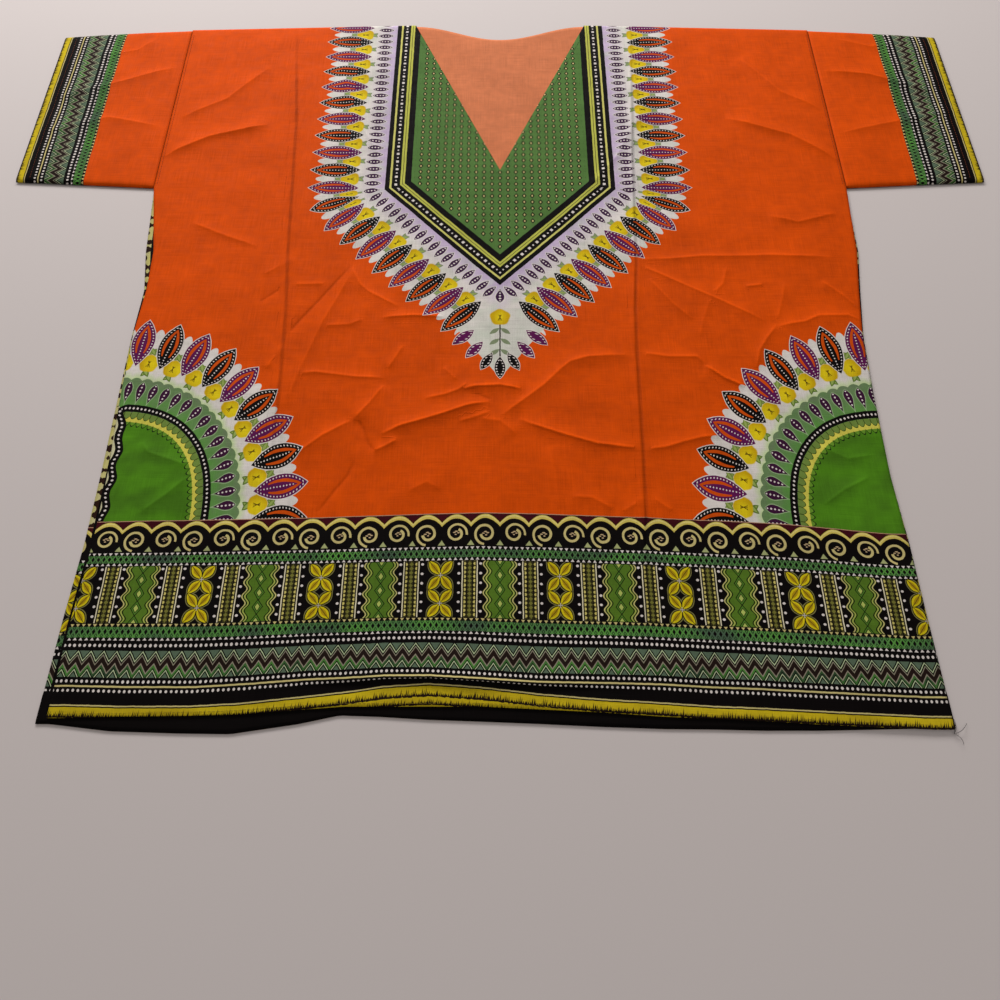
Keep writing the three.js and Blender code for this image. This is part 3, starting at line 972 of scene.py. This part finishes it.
def along_path(x, y, path):
    """Signed distance to a path, and how near its ends a place is: 1 in the middle and 0 past an end."""
    best = np.full(x.shape, np.inf)
    signed = np.zeros(x.shape)
    share = np.zeros(x.shape)
    points = np.array(path, float)
    lengths = np.hypot(*np.diff(points, axis=0).T)
    whole = lengths.sum()
    start = 0.0
    for (ax, ay), (bx, by), length in zip(points[:-1], points[1:], lengths):
        ux, uy = (bx - ax) / length, (by - ay) / length
        run = np.clip((x - ax) * ux + (y - ay) * uy, 0, length)
        dx, dy = x - ax - run * ux, y - ay - run * uy
        distance = np.hypot(dx, dy)
        closer = distance < best
        best = np.where(closer, distance, best)
        signed = np.where(closer, np.sign(ux * dy - uy * dx) * distance, signed)
        share = np.where(closer, (start + run) / whole, share)
        start += length
    return signed, np.clip(np.minimum(share, 1 - share) * 6, 0, 1) ** 0.7


def waves(x, y, length, seed):
    """Gentle uneven waves from -1 to 1, about the given length apart."""
    total = np.zeros(x.shape)
    for i in range(5):
        turn = 2.399 * i + seed
        scale = 2 * math.pi / (length * (0.8 + 0.13 * i))
        total += np.sin((x * math.cos(turn) + y * math.sin(turn)) * scale + 1.7 * i * seed)
    return total / 5


def crest(distance, reach):
    """A crease's side: a narrow rounded crest on a broad low swell."""
    def fall(width):
        rounding = 0.2
        return np.exp(math.sqrt(rounding) - np.sqrt((distance / width) ** 2 + rounding))
    return 0.62 * fall(reach * 0.5) + 0.38 * fall(reach * 1.7)


def rumple(x, y, creases, loose=1.0):
    """Height of a layer above its lowest place, and the sharp line of the strongest crease there."""
    swell = 0.5 * waves(x, y, 120, 1.3) + 0.42 * waves(x, y, 47, 2.1) + 0.12 * waves(x, y, 19, 0.7)
    height = 1.0 + loose * swell
    offset = np.full(x.shape, FAR_FROM_CREASE)
    depth = np.zeros(x.shape)
    strongest = np.zeros(x.shape)
    for path, rise, left, right, edge in creases:
        signed, ends = along_path(x, y, path)
        reach = np.where(signed > 0, left, right)
        height += rise * ends * crest(signed, reach)
        weight = abs(edge) * ends * np.clip(1 - np.abs(signed) / LINE_REACH, 0, 1)
        wins = weight > strongest
        strongest = np.where(wins, weight, strongest)
        offset = np.where(wins, signed, offset)
        depth = np.where(wins, np.sign(edge) * weight, depth)
    return np.maximum(height, LOWEST), offset, depth


# ---------------------------------------------------------------------------------------------------
# Cloth meshes
# ---------------------------------------------------------------------------------------------------
def rim_faces(outer, inner, step):
    """Faces that close a shell's edge, where the inner line has one point for each step of the outer one."""
    return [[*outer[i * step:(i + 1) * step + 1], inner[i + 1], inner[i]] for i in range(len(inner) - 1)]


def cloth_mesh(name, face, lining, flat, lining_flat, creases, names, lining_names, wrap=False):
    """A closed thin shell from a fine grid of outer points and a coarser one of inner points."""
    count = face.shape[0] * face.shape[1]
    fine = np.arange(count).reshape(face.shape[:2])
    coarse = np.arange(lining.shape[0] * lining.shape[1]).reshape(lining.shape[:2]) + count
    step = (face.shape[0] - 1) // (lining.shape[0] - 1)
    if wrap:
        fine, coarse = np.hstack([fine, fine[:, :1]]), np.hstack([coarse, coarse[:, :1]])
    sides = [(fine[0], coarse[0]), (fine[-1, ::-1], coarse[-1, ::-1])]
    if not wrap:
        sides += [(fine[:, -1], coarse[:, -1]), (fine[::-1, 0], coarse[::-1, 0])]
    rims = [rim[::-1] for outer, inner in sides for rim in rim_faces(list(outer), list(inner), step)]
    outer_faces = np.stack([fine[:-1, :-1], fine[:-1, 1:], fine[1:, 1:], fine[1:, :-1]], -1).reshape(-1, 4)
    inner_faces = np.stack([coarse[:-1, :-1], coarse[1:, :-1], coarse[1:, 1:], coarse[:-1, 1:]], -1)
    inner_faces = inner_faces.reshape(-1, 4)
    faces = outer_faces.tolist() + inner_faces.tolist() + rims
    points = np.vstack([face.reshape(-1, 3), lining.reshape(-1, 3)])
    mesh = bpy.data.meshes.new(name)
    mesh.from_pydata((points * MM + np.array([0, HEM_Y, 0])).tolist(), [], faces)
    maps = np.vstack([flat.reshape(-1, 2), lining_flat.reshape(-1, 2)]) * MM
    corners = np.concatenate([np.array(corner) for corner in faces])
    mesh.uv_layers.new(name="print").data.foreach_set("uv", maps[corners].ravel())
    for key, values in zip(("crease_offset", "crease_depth"), creases):
        layer = mesh.attributes.new(key, "FLOAT", "POINT")
        layer.data.foreach_set("value", np.concatenate([values.ravel(), np.zeros(len(points) - count)]))
    for material in CLOTHS:
        mesh.materials.append(material)
    slots = [SLOTS.index(key) for key in [*names, *lining_names, *["edge"] * len(rims)]]
    mesh.polygons.foreach_set("material_index", slots)
    mesh.polygons.foreach_set("use_smooth", np.ones(len(faces), bool))
    mesh.update()
    piece = bpy.data.objects.new(name, mesh)
    bpy.context.scene.collection.objects.link(piece)
    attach(piece, "root")
    return piece


def thinned(grid, step):
    """Every so many rows and columns of a grid."""
    return grid[::step, ::step]


def lowest_near(z, reach):
    """The lowest value of a grid within a few rows and columns of each place."""
    low = z.copy()
    for axis in (0, 1):
        padded = np.pad(low, [(reach, reach) if i == axis else (0, 0) for i in range(2)], mode="edge")
        size = low.shape[axis]
        low = np.min([np.take(padded, range(i, i + size), axis) for i in range(2 * reach + 1)], axis=0)
    return low


def even(stops, spacing, step):
    """Numbers through each stop, no further apart than spacing, in whole steps between the stops."""
    found = [stops[0]]
    for low, high in zip(stops[:-1], stops[1:]):
        count = step * max(1, math.ceil((high - low) / spacing / step))
        found += [low + (high - low) * i / count for i in range(1, count + 1)]
    return np.array(found)


def face_centres(flat, wrap=False):
    """The middle of each face of a grid, on the flat cloth."""
    if wrap:
        flat = np.concatenate([flat, flat[:, :1]], axis=1)
    return ((flat[:-1, :-1] + flat[1:, :-1] + flat[:-1, 1:] + flat[1:, 1:]) / 4).reshape(-1, 2)


def table(data, key, column, at):
    """Reads a table of sizes between its rows."""
    return np.interp(at, data[key], data[column])


def shoulder(across):
    """Height of the shoulder line at a place across."""
    return LENGTH - SHOULDER_DROP * np.clip(np.abs(across) - NECK, 0, None) / (ARMHOLE - NECK)


def front_top(across):
    """Height of the front's top edge: the shoulders and the V neck."""
    return shoulder(across) - FRONT_NECK_DEPTH * (1 - np.clip(np.abs(across) / NECK, 0, 1))


def back_top(across):
    """Height of the back's top edge: the shoulders and the shallow round neck."""
    scoop = (1 + np.cos(np.pi * np.clip(np.abs(across) / NECK, 0, 1))) / 2
    return shoulder(across) - BACK_NECK_DEPTH * scoop


def side_place(share, up, left, right):
    """Places across a panel from shares of its half width."""
    wide = np.where(share < 0, table(SIDES, "height", left, up), table(SIDES, "height", right, up))
    return share * wide


def s_curve(share):
    """Goes smoothly from 0 to 1."""
    share = np.clip(share, 0, 1)
    return 3 * share**2 - 2 * share**3


TUCK_END = TUCK_HIGH + 3
NECK_LOW, NECK_ROWS, HEM_ROWS = 530, 87, 6
# Where the drift of the print is measured at the blocks, and where the print is straight again.
DRIFT_AT_BLOCKS, DRIFT_ENDS = 92, 420


def front_rows(nominal, hem):
    """Heights on the print for each point: closer together in the tuck, and bent to the hem and neck."""
    heights = even([PIPING, TUCK_LOW], 1.3, LINING_STEP)
    above_tuck = [TUCK_END, *BAND_EDGES[2:], 400, NECK_LOW]
    for stops, spacing in (([TUCK_LOW, TUCK_END], 0.9), (above_tuck, SPACING)):
        heights = np.concatenate([heights, even(stops, spacing, LINING_STEP)[1:]])
    below = [hem + (PIPING - hem) * i / HEM_ROWS for i in range(HEM_ROWS)]
    above = [NECK_LOW + (front_top(nominal) - NECK_LOW) * i / NECK_ROWS for i in range(1, NECK_ROWS + 1)]
    return np.array([*below, *[np.full(len(nominal), up) for up in heights], *above])


def print_drift(up, nominal):
    """How far the print has moved up at each place, and how much cloth the tuck over the hem hides."""
    hidden = table(HEMS, "across", "tuck", nominal)
    lines = table(HEMS, "across", "at_lines", nominal)
    stages = (lines, lines - hidden, table(HEMS, "across", "at_blocks", nominal),
              table(HEMS, "across", "at_border", nominal), np.zeros(len(nominal)))
    heights = (0, TUCK_END, DRIFT_AT_BLOCKS, BORDER, DRIFT_ENDS)
    columns = range(len(nominal))
    moved = np.array([np.interp(up[:, i], heights, [stage[i] for stage in stages]) for i in columns]).T
    even_share = np.interp(up, (0, TUCK_END), (0, 1))
    return moved + hidden * (even_share - s_curve((up - TUCK_LOW) / (TUCK_HIGH - TUCK_LOW))), hidden / 8


def front_panel():
    """The front: its outline, its print, its creases and the tuck over its hem."""
    nominal = even([-ARMHOLE, -NECK, 0, NECK, ARMHOLE], SPACING, LINING_STEP)
    hem = table(HEMS, "across", "front", nominal) - table(HEMS, "across", "at_lines", nominal)
    up = front_rows(nominal, hem)
    moved, tucked = print_drift(up, nominal)
    y = up + moved
    x = side_place(np.tile(nominal / ARMHOLE, (len(up), 1)), y, "front_left", "front_right")
    height, *creases = rumple(x, y, CREASES)
    # The tuck: the upper part rides over the lower one in a rounded fold, and settles again above it.
    ride = s_curve((up - TUCK_LOW) / (TUCK_HIGH - TUCK_LOW)) * np.exp(-np.clip(up - TUCK_HIGH, 0, None) / 16)
    height += tucked * (2.6 * ride + 1.3 * np.exp(-(((up - TUCK_HIGH + 0.5) / 3) ** 2)))
    # The cloth lies down on the lower layer at its seams, hem and neck.
    wide = np.abs(side_place(np.sign(x) + (x == 0), y, "front_left", "front_right"))
    near = np.minimum((wide - np.abs(x)) / 16, (up - hem) / 14)
    near = np.minimum(near, (front_top(nominal) - up) / 12)
    z = FRONT_Z + CLOTH + height * (1 - np.exp(-np.clip(near, 0, None) * 2.2))
    face = np.stack([x, y, z], -1)
    flat = np.stack([x, up], -1)
    low = np.stack([x, y, lowest_near(z, LINING_STEP) - CLOTH], -1)
    names = [zone(*place) for place in face_centres(flat)]
    lining_flat = thinned(flat, LINING_STEP)
    lining = thinned(low, LINING_STEP)
    heights = face_centres(lining_flat)[:, 1]
    lining_names = ["turned_hem" if height < HEM_ALLOWANCE else "inside" for height in heights]
    return cloth_mesh("front_cloth", face, lining, flat, lining_flat, creases, names, lining_names)


def back_print(across, up):
    """What the printed side of the back panel shows: the same cloth without the yoke."""
    name = zone(across, up)
    return "ground" if name == "yoke" else name


# How much of the back shows beside the front, how far in the black band of painted seam shadow lies under
# it, and its rows.
SEEN_EDGE, SEAM_SHADOW_EDGE = 5.5, 16
BACK_HEM_ROWS, BACK_NECK_LOW, BACK_NECK_ROWS = 9, 700, 14


def back_seen(centres):
    """The print on the side of the back that faces up: its wrapped edges, its turned hem, a black band of
    painted seam shadow inside the side edges, and its inside.
    """
    left = table(SIDES, "height", "back_left", centres[:, 1])
    right = table(SIDES, "height", "back_right", centres[:, 1])
    names = []
    for (across, height), edge in zip(centres, np.where(centres[:, 0] < 0, left, right)):
        inset = edge - abs(across)
        if height < HEM_ALLOWANCE:
            names.append("turned_hem")
        elif inset < SEEN_EDGE and height < SLEEVE_LOW:
            names.append("side_strip" if height > BORDER else zone(across, height))
        # Painted seam shadow: a black band just inside the seen edge, next to the front's edge.
        elif inset < SEAM_SHADOW_EDGE and height < SLEEVE_LOW:
            names.append("turned_hem")
        else:
            names.append("inside")
    return names


def back_panel():
    """The back, which lies on the floor and shows at the neck, the side seams and the hem."""
    nominal = even([-ARMHOLE, -NECK, 0, NECK, ARMHOLE], BACK_SPACING, 1)
    hem = table(HEMS, "across", "back", nominal)
    neck_rise = back_top(nominal) - BACK_NECK_LOW
    below = [hem + (ZIGZAG - hem) * i / BACK_HEM_ROWS for i in range(BACK_HEM_ROWS)]
    above = [BACK_NECK_LOW + neck_rise * i / BACK_NECK_ROWS for i in range(1, BACK_NECK_ROWS + 1)]
    heights = even([*BAND_EDGES[2:], BACK_NECK_LOW], BACK_SPACING, 1)
    middle = [np.full(len(nominal), up) for up in heights]
    up = np.array([*below, *middle, *above])
    x = side_place(np.tile(nominal / ARMHOLE, (len(up), 1)), up, "back_left", "back_right")
    # A turned hem doubles the cloth, so its edge is thicker and falls to a single layer above it.
    doubled = 0.45 * s_curve((up - hem) / 2 + 0.4) * s_curve((HEM_ALLOWANCE - up) / 1.5)
    seen_neck = np.clip(1 - np.abs(x) / NECK, 0, 1) * np.clip((up - 540) / 60, 0, 1)
    height, *creases = rumple(x, up, (), 0.7)
    z = CLOTH + doubled + 0.3 * height * seen_neck * np.clip((back_top(nominal) - up) / 10, 0, 1)
    upper = np.stack([x, up, z], -1)
    lower = np.stack([x, up, np.zeros(up.shape)], -1)
    flat = np.stack([x, up], -1)
    centres = face_centres(flat)
    printed = [back_print(*place) for place in centres]
    return cloth_mesh("back_cloth", upper, lower, flat, flat, creases, back_seen(centres), printed)


# The sleeves' edges, from the armhole out to the cuff.
SLEEVES = {
    "out": (0, 50, 100, 140),
    "top": (752, 749, 745, 741),
    "bottom": (SLEEVE_LOW, 519, 522, 524),
}
SLEEVE_MIDDLE, SLEEVE_COLUMNS, SLEEVE_HALF, SEAM_GAP = 632, 76, 1.25, 0.3


def sleeve(name, side):
    """A sleeve as a flattened tube: its upper layer lies on its lower one, with soft folds at both edges."""
    reach = CUFF - ARMHOLE
    border = [reach - edge for edge in (SLEEVE_BORDER, *BAND_EDGES[4::-1])]
    out = even([0, *border, reach], SLEEVE_SPACING, 1) + SEAM_GAP
    out[-1] = reach
    up_and_over = [even([0, 1], 1 / SLEEVE_COLUMNS, 1), even([1, 0], 1 / SLEEVE_COLUMNS, 1)[1:-1]]
    share = np.concatenate(up_and_over)
    on_top = np.arange(len(share)) <= SLEEVE_COLUMNS
    top = table(SLEEVES, "out", "top", out)[:, None]
    bottom = table(SLEEVES, "out", "bottom", out)[:, None]
    x = side * (ARMHOLE + np.tile(out[:, None], (1, len(share))))
    y = bottom + (top - bottom) * share
    near = np.minimum(y - bottom, top - y)
    open_up = 1 - np.exp(-near / 1.6)
    height, offset, depth = rumple(x, y, SLEEVE_CREASES)
    seam = 1 - np.exp(-np.minimum(out, reach - out)[:, None] / 9)
    rise = SLEEVE_HALF + (0.45 + height * (1 - np.exp(-near / 12))) * seam
    z = SLEEVE_HALF + np.where(on_top, rise, -SLEEVE_HALF) * open_up
    inner_y = np.clip(y, bottom + CLOTH, top - CLOTH)
    inner_z = SLEEVE_HALF + (z - SLEEVE_HALF) * 0.999 - np.where(on_top, CLOTH, -CLOTH) * open_up
    face, lining = np.stack([x, y, z], -1), np.stack([x, inner_y, inner_z], -1)
    flat = np.stack([y - SLEEVE_MIDDLE, np.tile((reach - out)[:, None], (1, len(share)))], -1)
    heights = face_centres(flat, wrap=True)[:, 1]
    names = [zone(0, up) if up < SLEEVE_BORDER else "ground" for up in heights]
    creases = (offset, np.where(on_top, depth, 0))
    if side > 0:
        face, lining, flat = face[:, ::-1], lining[:, ::-1], flat[:, ::-1]
        creases = tuple(values[:, ::-1] for values in creases)
    return cloth_mesh(name, face, lining, flat, flat, creases, names, ["inside"] * len(names), wrap=True)


# ---------------------------------------------------------------------------------------------------
# Sewing thread
# ---------------------------------------------------------------------------------------------------
def thread_tube(path, radius, points, faces):
    """Adds a fine round thread along a path of points, pointed at both ends."""
    sides = 5
    path = np.array(path, float)
    start = len(points)
    ahead = np.gradient(path, axis=0)
    ahead /= np.linalg.norm(ahead, axis=1)[:, None]
    aside = np.cross(ahead, (0, 0, 1))
    aside /= np.linalg.norm(aside, axis=1)[:, None]
    upward = np.cross(aside, ahead)
    thick = radius * np.sin(np.linspace(0.25, math.pi - 0.25, len(path))) ** 0.5
    for place, out, over, size in zip(path, aside, upward, thick):
        for i in range(sides):
            turn = 2 * math.pi * i / sides
            points.append(place + (out * math.cos(turn) + over * math.sin(turn)) * size)
    for ring in range(len(path) - 1):
        for i in range(sides):
            a, b = start + ring * sides + i, start + ring * sides + (i + 1) % sides
            faces.append([a, b, b + sides, a + sides])
    faces.append([start + i for i in range(sides)][::-1])
    faces.append([start + (len(path) - 1) * sides + i for i in range(sides)])


def stitch_row(line, points, faces, pitch=3.2, radius=0.16):
    """Adds a row of stitches along a line of points, each one sinking into the cloth at its ends."""
    line = np.array(line, float)
    lengths = np.concatenate([[0], np.cumsum(np.linalg.norm(np.diff(line, axis=0), axis=1))])
    for i in range(int(lengths[-1] / pitch)):
        at = pitch * (i + np.array([0.12, 0.3, 0.5, 0.7, 0.88]))
        stitch = np.stack([np.interp(at, lengths, line[:, axis]) for axis in range(3)], -1)
        stitch[:, 2] += radius * np.array([-0.6, 0.5, 0.8, 0.5, -0.6])
        thread_tube(stitch, radius, points, faces)


def thread_piece(name, points, faces, ink):
    """Makes one piece of all the threads gathered so far."""
    mesh = bpy.data.meshes.new(name)
    mesh.from_pydata((np.array(points) * MM + np.array([0, HEM_Y, 0])).tolist(), [], faces)
    mesh.polygons.foreach_set("use_smooth", np.ones(len(faces), bool))
    mesh.materials.append(thread(name, ink))
    piece = bpy.data.objects.new(name, mesh)
    bpy.context.scene.collection.objects.link(piece)
    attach(piece, "root")
    return piece


def surface_line(piece, places):
    """Lays a line of places onto the nearest points of the cloth's upper side."""
    grid = np.empty(len(piece.data.vertices) * 3)
    piece.data.vertices.foreach_get("co", grid)
    grid = (grid.reshape(-1, 3) - np.array([0, HEM_Y, 0])) / MM
    line = []
    for x, y in places:
        close = grid[np.hypot(grid[:, 0] - x, grid[:, 1] - y) < 3.2]
        line.append((x, y, close[:, 2].max()))
    return line


front = front_panel()
back = back_panel()
left_sleeve = sleeve("left_sleeve_cloth", -1)
right_sleeve = sleeve("right_sleeve_cloth", 1)
for piece, node, slot in ((front, "front_panel", "printed_cotton"),
                          (back, "back_panel", "printed_cotton_inside_out"),
                          (left_sleeve, "left_sleeve", "printed_cotton"),
                          (right_sleeve, "right_sleeve", "printed_cotton")):
    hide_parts(node)


def neck_line(inset):
    """A line a little inside the neck edge of the front panel."""
    across = np.linspace(-NECK + 1, NECK - 1, 120)
    return [(x, front_top(x) - inset * math.hypot(1, FRONT_NECK_DEPTH / NECK)) for x in across]


def sew():
    """The rows of stitches that show, and the loose thread ends at the right end of the hem."""
    points, faces = [], []
    stitch_row(surface_line(front, neck_line(5)), points, faces)
    neck_stitches = thread_piece("neck_stitches", points, faces, dye(26, 60, 24))
    points, faces = [], []
    for side, tube in ((-1, left_sleeve), (1, right_sleeve)):
        armhole = [(side * (ARMHOLE - 3), y) for y in np.linspace(520, 746, 60)]
        stitch_row(surface_line(front, armhole), points, faces)
        cuff = [(side * (CUFF - 14), y) for y in np.linspace(528, 738, 60)]
        stitch_row(surface_line(tube, cuff), points, faces)
    seam_stitches = thread_piece("seam_stitches", points, faces, dye(150, 62, 10))
    points, faces = [], []
    low = [(x, table(HEMS, "across", "front", x) + 2.2) for x in np.linspace(-318, 318, 150)]
    stitch_row(surface_line(front, low), points, faces)
    hem_stitches = thread_piece("hem_stitches", points, faces, dye(150, 128, 26))
    points, faces = [], []
    corner_x = 326
    corner_y = table(HEMS, "across", "front", corner_x) - 3
    # Each end: which way it leans, how long it is, how far it curls and how high it rises.
    loose = ((0.2, 13, 5, 1.2), (-0.5, 9, -4, 1.8), (0.9, 10, 4, 1.0), (1.5, 7, -3, 1.4))
    for lean, length, curl, rise in loose:
        run = np.linspace(0, 1, 12)
        x = corner_x + length * run * math.cos(lean) + curl * run**2 * -math.sin(lean)
        y = corner_y + length * run * math.sin(lean) + curl * run**2 * math.cos(lean)
        z = FRONT_Z + rise * np.sin(run * math.pi) - 1.3 * run
        thread_tube(np.stack([x, y, z], -1), 0.17, points, faces)
    ends = thread_piece("loose_thread_ends", points, faces, BLACK)
    return neck_stitches, seam_stitches, hem_stitches, ends


neck_stitches, seam_stitches, hem_stitches, loose_ends = sew()


# ---------------------------------------------------------------------------------------------------
# Floor, light and camera
# ---------------------------------------------------------------------------------------------------
FLOOR_HALF, FLOOR_DROP = 6.0, 0.0002


def floor():
    """A plain pale floor."""
    mesh = bpy.data.meshes.new("floor")
    half = FLOOR_HALF
    corners = [(-half, -half, 0), (half, -half, 0), (half, half, 0), (-half, half, 0)]
    mesh.from_pydata(corners, [], [(0, 1, 2, 3)])
    piece = bpy.data.objects.new("floor", mesh)
    bpy.context.scene.collection.objects.link(piece)
    material = bpy.data.materials.new("floor")
    material.use_nodes = True
    shader = material.node_tree.nodes["Principled BSDF"]
    shader.inputs["Base Color"].default_value = dye(214, 204, 202)
    shader.inputs["Roughness"].default_value = 0.9
    mesh.materials.append(material)
    piece.location.z = -FLOOR_DROP


def area_light(name, place, aim, size, power, colour):
    """A soft rectangular light that faces a point."""
    data = bpy.data.lights.new(name, "AREA")
    data.shape = "RECTANGLE"
    data.size, data.size_y = size
    data.energy = power
    data.color = colour
    light = bpy.data.objects.new(name, data)
    light.location = place
    direction = np.array(aim, float) - np.array(place, float)
    light.rotation_euler = Vector(direction).to_track_quat("-Z", "Y").to_euler()
    bpy.context.scene.collection.objects.link(light)


CAMERA_HEIGHT, CAMERA_BEFORE_HEM, CAMERA_TILT, LENS = 0.543, 0.0518, 67.05, 25.92


def camera():
    """Looks down on the shirt from just in front of its hem."""
    data = bpy.data.cameras.new("camera")
    data.lens = LENS
    data.sensor_width = 36
    data.clip_start = 0.01
    piece = bpy.data.objects.new("camera", data)
    piece.location = (0, HEM_Y - CAMERA_BEFORE_HEM, CAMERA_HEIGHT)
    piece.rotation_euler = (math.radians(90 - CAMERA_TILT), 0, 0)
    bpy.context.scene.collection.objects.link(piece)
    bpy.context.scene.camera = piece


floor()
camera()
area_light("window", (-0.45, 1.9, 1.0), (0, 0.1, 0), (1.8, 0.7), 49, (1.0, 0.99, 0.97))
area_light("room", (0.3, -0.4, 2.6), (0, 0, 0), (2.5, 2.5), 8, (1.0, 0.94, 0.88))
world = bpy.data.worlds.new("room air")
world.use_nodes = True
world.node_tree.nodes["Background"].inputs["Color"].default_value = (1.0, 0.98, 0.96, 1.0)
world.node_tree.nodes["Background"].inputs["Strength"].default_value = 0.25
bpy.context.scene.world = world
bpy.context.scene.view_settings.view_transform = "Standard"
